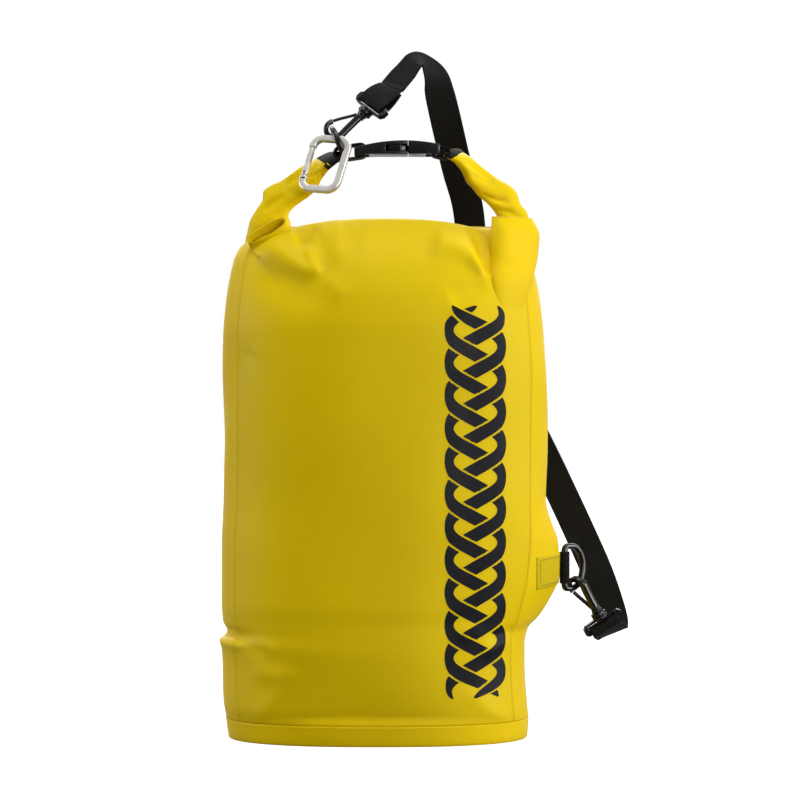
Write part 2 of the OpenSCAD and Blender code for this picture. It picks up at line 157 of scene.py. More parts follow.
# ---------------- materials
class Nodes:
    """A short way to build a material's node tree."""

    def __init__(self, name, **values):
        self.mat = bpy.data.materials.new(name)
        self.mat.use_nodes = True
        self.nt = self.mat.node_tree
        self.bsdf = self.nt.nodes["Principled BSDF"]
        for k, v in values.items():
            self.bsdf.inputs[k.replace("_", " ")].default_value = v

    def set(self, socket, value):
        """A number or a colour is set on the socket, and anything else is linked to it."""
        if isinstance(value, (int, float)):
            socket.default_value = value
        elif isinstance(value, tuple):
            socket.default_value = (*value, 1)
        else:
            self.nt.links.new(value, socket)

    def math(self, op, *terms):
        node = self.nt.nodes.new("ShaderNodeMath")
        node.operation = op
        for socket, term in zip(node.inputs, terms):
            self.set(socket, term)
        return node.outputs[0]

    def times(self, a, b):
        return self.math("MULTIPLY", a, b)

    def wave(self, distance, pitch):
        return self.math("SINE", self.times(distance, TURN / pitch))

    def where(self, scale):
        coords = self.nt.nodes.new("ShaderNodeTexCoord")
        m = self.nt.nodes.new("ShaderNodeMapping")
        m.inputs["Scale"].default_value = scale
        self.nt.links.new(coords.outputs["Object"], m.inputs[0])
        return m.outputs[0]

    def noise(self, scale, detail=3.0, stretch=(1, 1, 1)):
        n = self.nt.nodes.new("ShaderNodeTexNoise")
        n.inputs["Scale"].default_value = scale
        n.inputs["Detail"].default_value = detail
        self.nt.links.new(self.where(stretch), n.inputs["Vector"])
        return n.outputs["Fac"]

    def st(self):
        """Distances along and across the piece, in millimetres, and how far its colour is darkened (seam
        wear and painted shade), kept on its mesh.
        """
        a = self.nt.nodes.new("ShaderNodeAttribute")
        a.attribute_name = "st"
        s = self.nt.nodes.new("ShaderNodeSeparateXYZ")
        self.nt.links.new(a.outputs["Vector"], s.inputs[0])
        return s.outputs[0], s.outputs[1], s.outputs[2]

    def ramp(self, fac, low, high):
        """Grey ramp between two stops, each a position and a value."""
        r = self.nt.nodes.new("ShaderNodeValToRGB")
        for e, (at, grey) in zip(r.color_ramp.elements, (low, high)):
            e.position = at
            e.color = (grey, grey, grey, 1)
        self.nt.links.new(fac, r.inputs[0])
        return r.outputs["Color"]

    def mix(self, fac, a, b):
        m = self.nt.nodes.new("ShaderNodeMix")
        m.data_type = "RGBA"
        for i, v in ((0, fac), (6, a), (7, b)):
            self.set(m.inputs[i], v)
        return m.outputs[2]

    def bump(self, height, distance, strength, below=None):
        b = self.nt.nodes.new("ShaderNodeBump")
        b.inputs["Strength"].default_value = strength
        b.inputs["Distance"].default_value = distance
        self.nt.links.new(height, b.inputs["Height"])
        if below is not None:
            self.nt.links.new(below, b.inputs["Normal"])
        return b.outputs[0]

    def put(self, **links):
        for k, v in links.items():
            self.nt.links.new(v, self.bsdf.inputs[k.replace("_", " ")])
        return self.mat


def fabric_material(name, light, dark):
    """Coated fabric: a satin film over a fine plain weave that just shows through."""
    n = Nodes(name, Specular_IOR_Level=0.09, Sheen_Weight=0.0)
    s, t, seam_wear_and_painted_shade = n.st()
    red, green, blue = light
    base = n.mix(n.ramp(n.noise(9.0, 4.0), (0.3, 0.0), (0.72, 1.0)), light, dark)
    # the darkening kept on the mesh, seam wear and painted shade, pulls the colour towards a deeper orange
    base = n.mix(n.times(seam_wear_and_painted_shade, 0.5), base, (red * 0.72, green * 0.66, blue))
    scuff = n.ramp(n.noise(60.0, 6.0), (0.62, 0.0), (0.8, 1.0))
    base = n.mix(n.times(scuff, 0.12), base, (red, green * 1.05, 0.006))
    pitch = 0.9
    weave = n.times(n.wave(s, pitch), n.wave(t, pitch))
    base = n.mix(n.times(n.math("ADD", weave, 1.0), 0.03), base, (dark[0] * 0.8, dark[1] * 0.8, dark[2]))
    normal = n.bump(weave, 0.00006, 0.5)
    normal = n.bump(n.noise(420.0), 0.00012, 0.25, normal)
    rough = n.ramp(n.noise(30.0, 5.0), (0.3, 0.40), (0.75, 0.52))
    return n.put(Base_Color=base, Normal=normal, Roughness=rough)


def webbing_material(name, colour, lift, pitch=1.7):
    """Woven tape: ribs across its width, with each rib broken up along by the warp."""
    n = Nodes(name, Specular_IOR_Level=0.12, Sheen_Weight=0.02, Sheen_Roughness=0.4)
    s, t, _ = n.st()
    twill = n.math("ADD", n.times(s, TURN / pitch), n.times(n.math("ABSOLUTE", t), TURN / 2.6))
    height = n.math("ADD", n.times(n.math("SINE", twill), 0.6), n.times(n.wave(t, 1.05), 0.4))
    shade = n.math("ADD", n.times(height, 0.3), n.times(n.noise(300.0), 0.5))
    base = n.mix(n.ramp(shade, (0.0, 0.0), (0.8, 1.0)), colour, lift)
    normal = n.bump(height, 0.00022, 0.6)
    normal = n.bump(n.noise(900.0, 2.0), 0.00015, 0.3, normal)
    rough = n.ramp(n.noise(40.0), (0.3, 0.62), (0.7, 0.78))
    return n.put(Base_Color=base, Normal=normal, Roughness=rough)


def plastic_material(name, colour):
    """Moulded plastic, glossy, with a fine grain and a few grey scuffs."""
    n = Nodes(name, Specular_IOR_Level=0.42)
    toned = n.ramp(n.noise(120.0, 6.0), (0.60, 0.0), (0.78, 1.0))
    base = n.mix(n.times(toned, 0.35), colour, (0.05, 0.05, 0.05))
    normal = n.bump(n.noise(1500.0, 2.0), 0.00003, 0.2)
    normal = n.bump(n.noise(90.0, 2.0), 0.0002, 0.06, normal)
    rough = n.ramp(n.noise(200.0, 4.0), (0.3, 0.16), (0.7, 0.28))
    return n.put(Base_Color=base, Normal=normal, Roughness=rough)


def metal_material(name, colour, smoothest, roughest):
    """Metal brushed along its height."""
    n = Nodes(name, Metallic=0.72)
    base = n.mix(n.ramp(n.noise(220.0, 5.0), (0.35, 0.0), (0.75, 1.0)), colour,
                 tuple(c * 0.82 for c in colour))
    normal = n.bump(n.noise(40.0, 4.0, (1, 1, 30)), 0.00004, 0.35)
    normal = n.bump(n.noise(2600.0, 2.0), 0.00003, 0.3, normal)
    rough = n.ramp(n.noise(150.0, 4.0), (0.3, smoothest), (0.7, roughest))
    return n.put(Base_Color=base, Normal=normal, Roughness=rough)


def thread_material(name, colour):
    n = Nodes(name, Specular_IOR_Level=0.3, Sheen_Weight=0.1)
    twist = n.noise(1800.0, 2.0)
    base = n.mix(twist, tuple(c * 0.7 for c in colour), colour)
    return n.put(Base_Color=base, Normal=n.bump(twist, 0.00015, 0.5),
                 Roughness=n.ramp(n.noise(500.0), (0.3, 0.5), (0.7, 0.7)))


def ink_material(name, thin, full):
    """Screen-printed ink, a little matt and slightly cracked at its finest scale."""
    n = Nodes(name, Specular_IOR_Level=0.10)
    fine = n.noise(700.0, 4.0)
    return n.put(Base_Color=n.mix(n.ramp(fine, (0.4, 0.0), (0.8, 1.0)), thin, full),
                 Normal=n.bump(fine, 0.00006, 0.4),
                 Roughness=n.ramp(n.noise(50.0), (0.3, 0.42), (0.7, 0.55)))


fabric = fabric_material("coated_fabric", (0.82, 0.585, 0.001), (0.76, 0.54, 0.0008))
# painted light: the gussets and the right corner fold get a lighter copy of the same coated fabric, for
# the light that falls on that side
fabric_painted_lit_side = fabric_material("coated_fabric_gusset", (0.86, 0.595, 0.001), (0.81, 0.56, 0.0008))
# painted light: the base band and base panel get a lighter copy of the same coated fabric, for the
# brighter band at the foot
fabric_band_painted_lit = fabric_material("coated_fabric_base_painted_lit", (0.90, 0.63, 0.002), (0.86, 0.60, 0.001))
webbing = webbing_material("black_webbing", (0.0025, 0.0024, 0.002), (0.011, 0.0095, 0.007))
webbing_fold = webbing_material("black_webbing_folded", (0.0025, 0.0024, 0.002), (0.014, 0.012, 0.009),
                                pitch=1.2)
olive = webbing_material("olive_webbing", (0.62, 0.46, 0.004), (0.76, 0.58, 0.010), pitch=1.1)
plastic = plastic_material("black_plastic", (0.006, 0.0055, 0.005))
aluminium = metal_material("satin_aluminium", (0.70, 0.675, 0.63), 0.26, 0.38)
steel = metal_material("steel_pin", (0.22, 0.22, 0.22), 0.30, 0.45)
# painted shade: a near-black finish for the link's latch recess
painted_latch_shade = metal_material("painted_latch_recess_shade", (0.02, 0.02, 0.02), 0.5, 0.6)
thread_yellow = thread_material("thread_yellow", (0.62, 0.46, 0.02))
thread_black = thread_material("thread_black", (0.075, 0.07, 0.06))
thread_olive = thread_material("thread_olive", (0.22, 0.17, 0.01))
ink = ink_material("print_ink", (0.006, 0.006, 0.009), (0.012, 0.0115, 0.014))


# ---------------- mesh helpers
def piece(name, points, faces, mat, body="bag", st=None, slot=None, replaces=()):
    """A mesh object from points in millimetres, riding on a CAD body."""
    mesh = bpy.data.meshes.new(name)
    mesh.from_pydata((np.asarray(points, float).reshape(-1, 3) * MM).tolist(), [],
                     [tuple(f) for f in faces])
    mesh.materials.append(mat)
    mesh.validate()
    mesh.polygons.foreach_set("use_smooth", [True] * len(mesh.polygons))
    if st is not None:
        a = mesh.attributes.new("st", "FLOAT_VECTOR", "POINT")
        a.data.foreach_set("vector", np.asarray(st, np.float32).reshape(-1))
    mesh.update()
    obj = bpy.data.objects.new(name, mesh)
    scene.collection.objects.link(obj)
    if body:
        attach(obj, body)
    if replaces:
        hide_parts(*replaces)
    return obj


def grid_faces(m, n, closed=False, flip=False, base=0):
    """Quads over an m by n grid of points, the second way round a ring if closed."""
    out = []
    for k in range(m - 1):
        for i in range(n if closed else n - 1):
            j = (i + 1) % n
            q = (base + k * n + i, base + k * n + j, base + (k + 1) * n + j, base + (k + 1) * n + i)
            out.append(q[::-1] if flip else q)
    return out


def end_caps(m, n):
    """The two end faces of a tube of m rings of n points."""
    return [tuple(range(n))[::-1], tuple((m - 1) * n + i for i in range(n))]


def grid_normals(p, closed=False):
    """Unit normals over a grid of points, from the differences of its neighbours."""
    du = (np.roll(p, -1, 1) - np.roll(p, 1, 1)) if closed else np.gradient(p, axis=1)
    dv = np.gradient(p, axis=0)
    return unit(np.cross(du, dv))


def tube_normals(rings):
    """Normals of a tube of rings, turned outward."""
    n = grid_normals(rings, True)
    return -n if ((rings - rings.mean(1, keepdims=True)) * n).sum() < 0 else n


def unit(v):
    v = np.asarray(v, float)
    return v / np.maximum(np.linalg.norm(v, axis=-1, keepdims=True), 1e-12)


def power(v, exponent):
    """v to a power with its sign kept: it turns a circle's cosine and sine into a squarer oval."""
    return np.sign(v) * np.abs(v) ** exponent


def smooth_path(p, n):
    """Catmull-Rom through points p, n steps a span: the same curve as the CAD's."""
    p = np.asarray(p, float)
    out = []
    for i in range(len(p) - 1):
        a, b, c, d = p[max(i - 1, 0)], p[i], p[i + 1], p[min(i + 2, len(p) - 1)]
        for k in range(n):
            t = k / n
            out.append(0.5 * (2 * b + (c - a) * t + (2 * a - 5 * b + 4 * c - d) * t * t
                              + (3 * b - a - 3 * c + d) * t ** 3))
    out.append(p[-1])
    return np.array(out)


def pchip(x, y, xi):
    """Smooth curve through (x, y) that doesn't overshoot."""
    x, y, xi = np.asarray(x, float), np.asarray(y, float), np.asarray(xi, float)
    if y.ndim == 1:
        return pchip(x, y[:, None], xi)[:, 0]
    h = np.diff(x)[:, None]
    d = np.diff(y, axis=0) / h
    m = np.zeros_like(y)
    w1, w2 = 2 * h[1:] + h[:-1], h[1:] + 2 * h[:-1]
    same = d[:-1] * d[1:] > 0
    safe0, safe1 = np.where(same, d[:-1], 1.0), np.where(same, d[1:], 1.0)
    m[1:-1] = np.where(same, (w1 + w2) / (w1 / safe0 + w2 / safe1), 0)
    m[0], m[-1] = d[0], d[-1]
    k = np.clip(np.searchsorted(x, xi, side="right") - 1, 0, len(x) - 2)
    hh = h[k]
    t = ((xi - x[k])[:, None] / hh)
    return ((1 + 2 * t) * (1 - t) ** 2 * y[k] + t * (1 - t) ** 2 * hh * m[k]
            + t * t * (3 - 2 * t) * y[k + 1] + t * t * (t - 1) * hh * m[k + 1])


def length_along(p):
    return np.concatenate([[0], np.cumsum(np.linalg.norm(np.diff(p, axis=0), axis=1))])


def smoothstep(a, b, x):
    t = np.clip((x - a) / (b - a), 0, 1)
    return t * t * (3 - 2 * t)


def stroke(x, z, pts, height, w0, w1, ends=0.35):
    """Height of a soft ridge (or valley) along a line of points, w0 wide at its start and w1
    at its end, tapering out at both."""
    pts = np.asarray(pts, float)
    total = length_along(pts)
    best, along = np.full(x.shape, 1e9), np.zeros(x.shape)
    for i in range(len(pts) - 1):
        a, d = pts[i], pts[i + 1] - pts[i]
        t = np.clip(((x - a[0]) * d[0] + (z - a[1]) * d[1]) / (d @ d), 0, 1)
        dist = np.hypot(x - a[0] - t * d[0], z - a[1] - t * d[1])
        near = dist < best
        best = np.where(near, dist, best)
        along = np.where(near, (total[i] + t * math.sqrt(d @ d)) / total[-1], along)
    w = w0 + (w1 - w0) * along
    taper = smoothstep(0, ends, along) * smoothstep(0, ends, 1 - along)
    return height * np.exp(-0.5 * (best / w) ** 2) * taper


def strokes(x, z, rows):
    return sum((stroke(x, z, *row) for row in rows), np.zeros(x.shape))


def rounded_rect(w, t, r, n=3):
    """A rounded rectangle w by t, as points (across, up)."""
    out = []
    r = min(r, w / 2 - 0.01, t / 2 - 0.01)
    for cx, cz, a0 in ((1, 1, 0), (-1, 1, 90), (-1, -1, 180), (1, -1, 270)):
        for k in range(n + 1):
            a = math.radians(a0 + 90 * k / n)
            out.append([cx * (w / 2 - r) + r * math.cos(a), cz * (t / 2 - r) + r * math.sin(a)])
    return np.array(out)


def frames_along(path, across, closed=False):
    """At each point of a path, a side direction near across, and up."""
    tan = unit(np.roll(path, -1, 0) - np.roll(path, 1, 0) if closed else np.gradient(path, axis=0))
    across = np.broadcast_to(np.asarray(across, float), path.shape)
    side = unit(across - (across * tan).sum(1, keepdims=True) * tan)
    return side, np.cross(side, tan)


def sweep(path, across, profile, closed=False):
    """A solid along a path: profile x runs along the across direction. Gives points, faces, st."""
    path = np.asarray(path, float)
    side, up = frames_along(path, across, closed)
    prof = np.asarray(profile, float)
    if prof.ndim == 2:
        prof = np.broadcast_to(prof, (len(path), *prof.shape))
    m, n = prof.shape[:2]
    p = path[:, None] + side[:, None] * prof[:, :, :1] + up[:, None] * prof[:, :, 1:2]
    s = length_along(path)
    st = np.stack([np.repeat(s[:, None], n, 1), prof[:, :, 0], np.zeros((m, n))], 2)
    faces = grid_faces(m, n, True)
    if closed:
        faces += [((m - 1) * n + i, (m - 1) * n + (i + 1) % n, (i + 1) % n, i) for i in range(n)]
    else:
        faces += end_caps(m, n)
    return p.reshape(-1, 3), faces, st.reshape(-1, 3)


def joined(*parts):
    """Several (points, faces, st) as one."""
    faces, base = [], 0
    for p, f, _ in parts:
        faces += [tuple(i + base for i in q) for q in f]
        base += len(p)
    return np.concatenate([p for p, _, _ in parts]), faces, np.concatenate([st for _, _, st in parts])


def solid(name, part, mat, body="bag", **kw):
    """A closed piece from (points, faces, st), with its faces turned outward."""
    pts, faces, st = part
    obj = piece(name, pts, faces, mat, body, st, **kw)
    bm = bmesh.new()
    bm.from_mesh(obj.data)
    bmesh.ops.recalc_face_normals(bm, faces=bm.faces)
    bm.to_mesh(obj.data)
    bm.free()
    return obj


def swept(name, path, across, profile, mat, body="bag", closed=False, **kw):
    return solid(name, sweep(path, across, profile, closed), mat, body, **kw)


# ---------------- the bag's shell
# height, left x, right x, front y, back y, drop at the back, drop at the sides, gusset bulge
ROWS = np.array([
    [1.6, -119, 119, -88, 88, 0, 0, 0], [15.5, -121, 120, -90, 90, 0, 0, 0],
    [28, -123, 119, -92, 92, 0, 0, 0], [60, -124, 117, -93, 93, 0, 0, 0],
    [76, -125, 117, -94, 94, 0, 0, 0], [84, -123, 118, -94, 94, 0, 0, 2],
    [92, -124, 119, -94, 94, 0, 0, 6.5], [108, -125, 121.5, -95, 95, 0, 0, 14.5],
    [124, -125, 124, -95, 95, 0, 0, 19.5], [140, -125, 126.5, -95, 95, 0, 0, 18],
    [156, -125, 129, -95, 95, 0, 0, 15], [172, -124.5, 131.5, -95, 95, 0, 0, 7],
    [188, -124, 133, -95, 95, 0, 0, 1.5], [228, -124, 134, -95, 95, 0, 0, 0],
    [282, -124, 134, -94, 94, 0, 0, 0], [322, -123, 132.5, -92, 92, 0, 0, 0],
    [348, -121, 130, -87, 89, 0, 0, 0], [368, -118.5, 126.5, -79, 84, -1, 1, 0],
    [384, -115.5, 122, -69, 77, -3, 2, 0], [396, -111, 117, -58, 70, -8, 2.5, 0],
    [405, -105, 112, -46, 62, -13, 6, 0], [411, -97, 107, -34, 54, -18, 14, 0],
    [412, -93, 103, -20, 46, -20, 18, 0], [407, -90, 100, -6, 38, -15, 17, 0]], float)
SQUARENESS = 2.4                  # the section's superellipse power: 2 is an ellipse
TAB_Y, TENT_REACH = -6.0, 56.0    # where the tab pulls the right gusset, and how far that shows
BAND_H = 15.5
SHEET = 1.4                       # thickness of the panels
SEAM = 29.3                       # the weld seams' angle round the section, in degrees


def section(angle):
    """Unit superellipse: across and along depth."""
    return power(np.cos(angle), 2 / SQUARENESS), power(np.sin(angle), 2 / SQUARENESS)


def even_angles(a0, a1, n, half_width=126, half_depth=93):
    """Angles from a0 to a1, in degrees, evenly spaced along the section's outline."""
    a = np.radians(np.linspace(a0, a1, 4000))
    c, s = section(a)
    run = length_along(np.stack([half_width * c, half_depth * s], 1))
    return np.degrees(np.interp(np.linspace(0, run[-1], n + 1), run, a))


COUNTS = (168, 66, 130, 66)       # columns in the front, right, back and left panels
corner = [-180 + SEAM, -SEAM, SEAM, 180 - SEAM, 180 + SEAM]
angles, seams = [], [0]
for a0, a1, count in zip(corner, corner[1:], COUNTS):
    angles += list(even_angles(a0, a1, count))[:-1]
    seams.append(len(angles))
angles = np.radians(np.array(angles))
N_ROWS = 236                      # rows from the top of the base band to the mouth
row_at = length_along(ROWS[:, [0, 3]])
ROW_S = np.linspace(row_at[1], row_at[-1], N_ROWS)
R = pchip(row_at, ROWS, ROW_S)


def shell_points(r, ang):
    c, s = (v[None] for v in section(ang))
    z0, left, right, near, far, back_drop, side_drop, bulge = (r[:, i:i + 1] for i in range(8))
    x = (left + right) / 2 + (right - left) / 2 * c
    y = (near + far) / 2 + (far - near) / 2 * s
    # the strap tab pulls the right gusset out into a tent, with a softly rounded ridge
    reach = np.sqrt((y - TAB_Y) ** 2 + 5.0 ** 2) - 5.0
    tent = np.where(c > 0, bulge * np.maximum(0, 1 - reach / TENT_REACH), 0)
    z = z0 + back_drop * (s + 1) / 2 - side_drop * np.abs(c) ** 3
    return np.stack([x + tent, y, z], 2)


P = shell_points(R, angles)
normal = grid_normals(P, True)
if normal[N_ROWS // 2, COUNTS[0] // 2, 1] > 0:
    normal = -normal
X, Y, Z = P[..., 0], P[..., 1], P[..., 2]
on_front = np.clip(-normal[..., 1] * 1.6, 0, 1) * (Y < 20)
on_back = np.clip(normal[..., 1] * 1.6, 0, 1)
on_left = np.clip(-normal[..., 0] * 1.5, 0, 1)
on_right = np.clip(normal[..., 0] * 1.5, 0, 1)

# what the fabric does: creases at the shoulders, where the roll pulls, and slack at the base
# each row: points, height, width at its start and its end, taper at both ends
FRONT_CREASES = [
    # left shoulder: a diagonal pull ridge from the corner fold, dark below it
    ([(-92, 392), (-75, 380), (-60, 371), (-43, 364)], 3.6, 8, 3.0, 0.25),
    ([(-103, 376), (-80, 362), (-58, 352), (-36, 340)], -3.2, 11, 8, 0.4),
    ([(-43, 364), (-34, 356), (-22, 345)], 1.2, 3.2, 7, 0.3),
    ([(-57, 390), (-49, 373), (-43.4, 363)], 1.6, 3.2, 1.8, 0.25),
    ([(-47, 398), (-40, 380), (-35, 364)], -2.4, 5, 5, 0.3),
    ([(-53, 391), (-47.5, 398.5), (-38, 404), (-26, 406)], 2.4, 2.4, 5, 0.2),
    ([(-66, 398), (-58, 395), (-52, 398), (-47, 406)], -4.0, 4.4, 4, 0.3),
    ([(-30, 398), (-22, 392), (-10, 390)], -1.1, 4, 6, 0.4),
    # a small dent by the left seam
    ([(-104, 309), (-100, 303), (-95, 296)], -0.7, 2.4, 3.4, 0.4),
    ([(-99, 311), (-95, 305), (-90, 298)], 0.4, 2.6, 3.2, 0.4),
    # right shoulder: a ridge down into the V beside the corner fold
    ([(40, 392), (60, 386), (71.6, 380.7), (79, 371), (87, 362.5)], 3.9, 8, 2.0, 0.2),
    ([(80, 408), (81.7, 388), (84.8, 375), (87.4, 364)], -6.0, 6.5, 2.2, 0.16),
    ([(83.5, 386), (85, 376), (87, 365)], 1.3, 1.6, 1.2, 0.3),
    ([(54, 344), (70, 351), (85.5, 360.6)], -2.0, 8, 3, 0.3),
    ([(50, 330), (66, 338), (84, 352)], 0.9, 8, 5, 0.4),
    # right of the base: soft folds at the foot of the gusset
    ([(78, 70), (92, 76), (107, 81)], 1.5, 5, 3, 0.3),
    ([(84, 82), (98, 86), (112, 90)], -1.3, 3.4, 2.4, 0.3),
    ([(60, 84), (72, 90), (84, 88)], 0.9, 5, 5, 0.4),
    # left of the base: small folds running in from the notch
    ([(-118, 86), (-102, 76), (-82, 70)], -0.7, 2.6, 3.6, 0.3),
    ([(-104, 60), (-82, 54), (-60, 60)], 1.3, 5, 5, 0.4),
    ([(-96, 82), (-86, 78), (-74, 70)], 0.5, 3, 3, 0.4),
    # diagonals at the base's corners
    ([(-62, 62), (-80, 38), (-99, 12)], 0.5, 5, 4, 0.2),
    ([(66, 46), (86, 28), (108, 8)], 0.8, 5.5, 3.6, 0.2),
]
BACK_CREASES = [
    ([(-84, 390), (-66, 372), (-44, 354)], 3.4, 7, 5), ([(-60, 396), (-48, 376), (-30, 360)], -3.0, 5, 7),
    ([(88, 388), (74, 368), (52, 348)], 3.6, 6, 8), ([(66, 396), (54, 376), (40, 362)], -3.0, 6, 6),
    ([(-96, 84), (-70, 76), (-40, 80)], 1.4, 5, 5), ([(102, 80), (76, 72), (48, 76)], 1.4, 5, 5),
    ([(-60, 62), (-80, 38), (-100, 12)], 1.4, 4, 3), ([(64, 50), (86, 28), (106, 10)], 1.4, 4, 3)]
# the gussets, in (y, z): a notch where the left one folds, and a crease under the right tent
LEFT_CREASES = [([(-70, 84), (-20, 85), (40, 83)], -2.6, 3.2, 3.2, 0.2),
                ([(-72, 76), (-20, 77), (40, 75)], 1.8, 2.6, 2.6, 0.2),
                ([(-60, 322), (-10, 242), (30, 192)], -1.2, 14, 14, 0.2)]
RIGHT_CREASES = [([(-64, 84), (-20, 88), (30, 84)], -1.8, 4.0, 4.0, 0.2),
                 ([(-56, 322), (-14, 252), (-6, 182)], 1.6, 12, 12, 0.3)]
bump = (strokes(X, Z, FRONT_CREASES) * on_front + strokes(X, Z, BACK_CREASES) * on_back
        + strokes(Y, Z, LEFT_CREASES) * on_left + strokes(Y, Z, RIGHT_CREASES) * on_right)
# the front runs in towards the base between two diagonals that rise from its corners
left_d = (X + 99.2) * 0.805 - (Z - 11.4) * 0.593
right_d = (108.2 - X) * 0.68 - (Z - 7.0) * 0.734
inner = -np.logaddexp(-left_d / 5, -right_d / 5) * 5
inner = -np.logaddexp(-inner / 7, -(66.0 - Z) / 7) * 7
bump -= np.where(inner > 0, inner * 0.135 - 2.0 * (1 - np.exp(-inner / 20)), 0) * on_front
# slow waves all round, from the slack of a bag that isn't packed tight
wave = (np.sin(X / 31 + Z / 47) * np.sin(Z / 58 + 1.1) + 0.6 * np.sin(X / 17 - Z / 66 + 2.0)
        + 0.5 * np.sin(Y / 23 + Z / 39 + 0.6))
bump += wave * 0.55 * smoothstep(15, 50, Z) * smoothstep(416, 372, Z)

# weld seams: a flat lapped ridge down each corner
ring_len = np.zeros(X.shape)
step = np.linalg.norm(np.roll(P, -1, 1) - P, axis=2)
ring_len[:, 1:] = np.cumsum(step, 1)[:, :-1]
seam_gap = np.full(X.shape, 1e9)
for k in seams[:4]:
    d = np.abs(ring_len - ring_len[:, k:k + 1])
    seam_gap = np.minimum(seam_gap, np.minimum(d, ring_len[:, -1:] + step[:, -1:] - d))
lap = smoothstep(3.4, 1.7, seam_gap)
bump += 0.5 * lap * smoothstep(416, 392, Z)
# darkening kept on the mesh: wear along the weld laps, painted shade just above the base band where its
# crease is, and darker towards the mouth
seam_wear_and_painted_shade = np.clip(0.35 * lap + 0.35 * smoothstep(30, 15, Z) + 0.2 * smoothstep(388, 408, Z), 0, 1)

bump *= smoothstep(BAND_H, BAND_H + 7.5, Z) * 0.9 + 0.1
P = P + normal * bump[..., None]


def swell(origin, axis, major, along, proud, half, sharp=2.6):
    """How far the shell's front stands out under a fold: proud at distances along its axis."""
    d = (X - origin[0]) * axis[0] + (Z - origin[1]) * axis[1]
    m = (X - origin[0]) * major[0] + (Z - origin[1]) * major[1]
    rise = pchip(along, proud, np.clip(d, along[0], along[-1]).ravel()).reshape(d.shape)
    wide = np.interp(d, along, half)
    g = np.clip(1 - np.abs(m / wide) ** sharp, 0, 1)
    return rise * np.sqrt(g * g * (3 - 2 * g)) * smoothstep(6, -24, Y)


P[..., 1] -= swell((-86.7, 401.7), (0.51, -0.86), (0.86, 0.511), [-3, 0, 8, 16, 26, 42],
                   [0, 4.0, 4.8, 3.6, 1.7, 0], [17, 18, 18.5, 18.5, 17, 14])
P[..., 1] -= swell((110, 410), (0.03, -1.0), (1.0, 0.03), [-8, 0, 12, 26, 38, 54],
                   [0, 3.0, 4.0, 3.2, 1.6, 0], [20, 21, 22, 21.5, 20.5, 18], 5.0)
ST = np.stack([ring_len, np.repeat(ROW_S[:, None], len(angles), 1), seam_wear_and_painted_shade], 2)



def sheet_faces(m, n):
    """A grid and its inner copy, closed round all four edges."""
    q = m * n
    faces = grid_faces(m, n) + grid_faces(m, n, flip=True, base=q)
    top = (m - 1) * n
    for c in range(n - 1):
        faces += [(c, q + c, q + c + 1, c + 1),
                  (top + c, top + c + 1, q + top + c + 1, q + top + c)]
    for k in range(m - 1):
        a, b = k * n, k * n + n - 1
        faces += [(a, a + n, q + a + n, q + a), (b, q + b, q + b + n, b + n)]
    return faces


# an inner face makes each panel a real sheet
for i, name in enumerate(["front_panel", "side_panel_right", "back_panel", "side_panel_left"]):
    cols = np.arange(seams[i], seams[i + 1] + 1) % len(angles)
    outer, st = P[:, cols], ST[:, cols].copy()
    if cols[-1] == 0:
        st[:, -1, 0] = st[:, -2, 0] * 2 - st[:, -3, 0]
    piece(name + "_fabric", [outer, outer - normal[:, cols] * SHEET], sheet_faces(*outer.shape[:2]),
          fabric_painted_lit_side if "side" in name else fabric, st=[st, st], slot="coated_fabric", replaces=(name,))


# the base: a floor disc and the welded band turned up round the body
def base_ring(z, out):
    foot = ROWS[:12]
    sides = [np.interp(z, foot[:, 0], foot[:, c]) for c in range(1, 5)]
    p = shell_points(np.array([[z, *sides, 0, 0, 0]]), angles)[0]
    p = p + unit(p * [1, 1.3, 0]) * out
    p[:, 2] = z
    return p


# height, how far out, darkening: painted shade at the band's foot and in the crease along its top
BAND = [(0.0, -1.6, 1.0), (0.0, -0.5, 1.0), (0.6, 0.15, 0.9), (2.0, 0.35, 0.6), (5.0, 0.4, 0.2),
        (10.0, 0.4, 0.1), (14.2, 0.38, 0.4), (15.3, 0.3, 0.8), (15.7, 0.0, 1.0), (BAND_H, -1.4, 1.0)]
band = np.array([base_ring(z, out) for z, out, _ in BAND])
m, n = band.shape[:2]
band_st = [[(s, z, w) for s in ring_len[0]] for z, _, w in BAND]
piece("base_weld_band_fabric", band, grid_faces(m, n, True), fabric_band_painted_lit, st=band_st,
      slot="coated_fabric", replaces=("base_weld_band",))
# share of the way out, and how far the disc's middle is pushed up
DISC = [(0.02, 0.9), (0.3, 0.9), (0.6, 0.8), (0.85, 0.5), (0.97, 0.15), (1.0, 0.05)]
disc = np.array([band[0] * [share, share, 0] + [0, 0, up] for share, up in DISC])
m = len(disc)
rim = (m - 1) * n
disc_faces = (grid_faces(m, n, True) + grid_faces(m, n, True, True, m * n)
              + [tuple(range(n)), tuple(m * n + i for i in range(n))]
              + [(rim + i, rim + (i + 1) % n, m * n + rim + (i + 1) % n, m * n + rim + i)
                 for i in range(n)])
solid("base_panel_fabric", (np.array([disc, disc + [0, 0, SHEET]]), disc_faces, [disc, disc]),
      fabric_band_painted_lit, slot="coated_fabric", replaces=("base_panel",))


# ---------------- fabric folds on the shell
shell = BVHTree.FromPolygons(P.reshape(-1, 3).tolist(), grid_faces(*P.shape[:2], True))


def surface_at(x, z, fallback=-40.0):
    """The shell's front at (x, z): its depth and outward direction."""
    hit, n, _, _ = shell.ray_cast(Vector((x, -300, z)), Vector((0, 1, 0)))
    if hit is None:
        return fallback, np.array([0.0, -1.0, 0.0])
    n = np.array(n)
    return hit.y, n if n[1] < 0 else -n


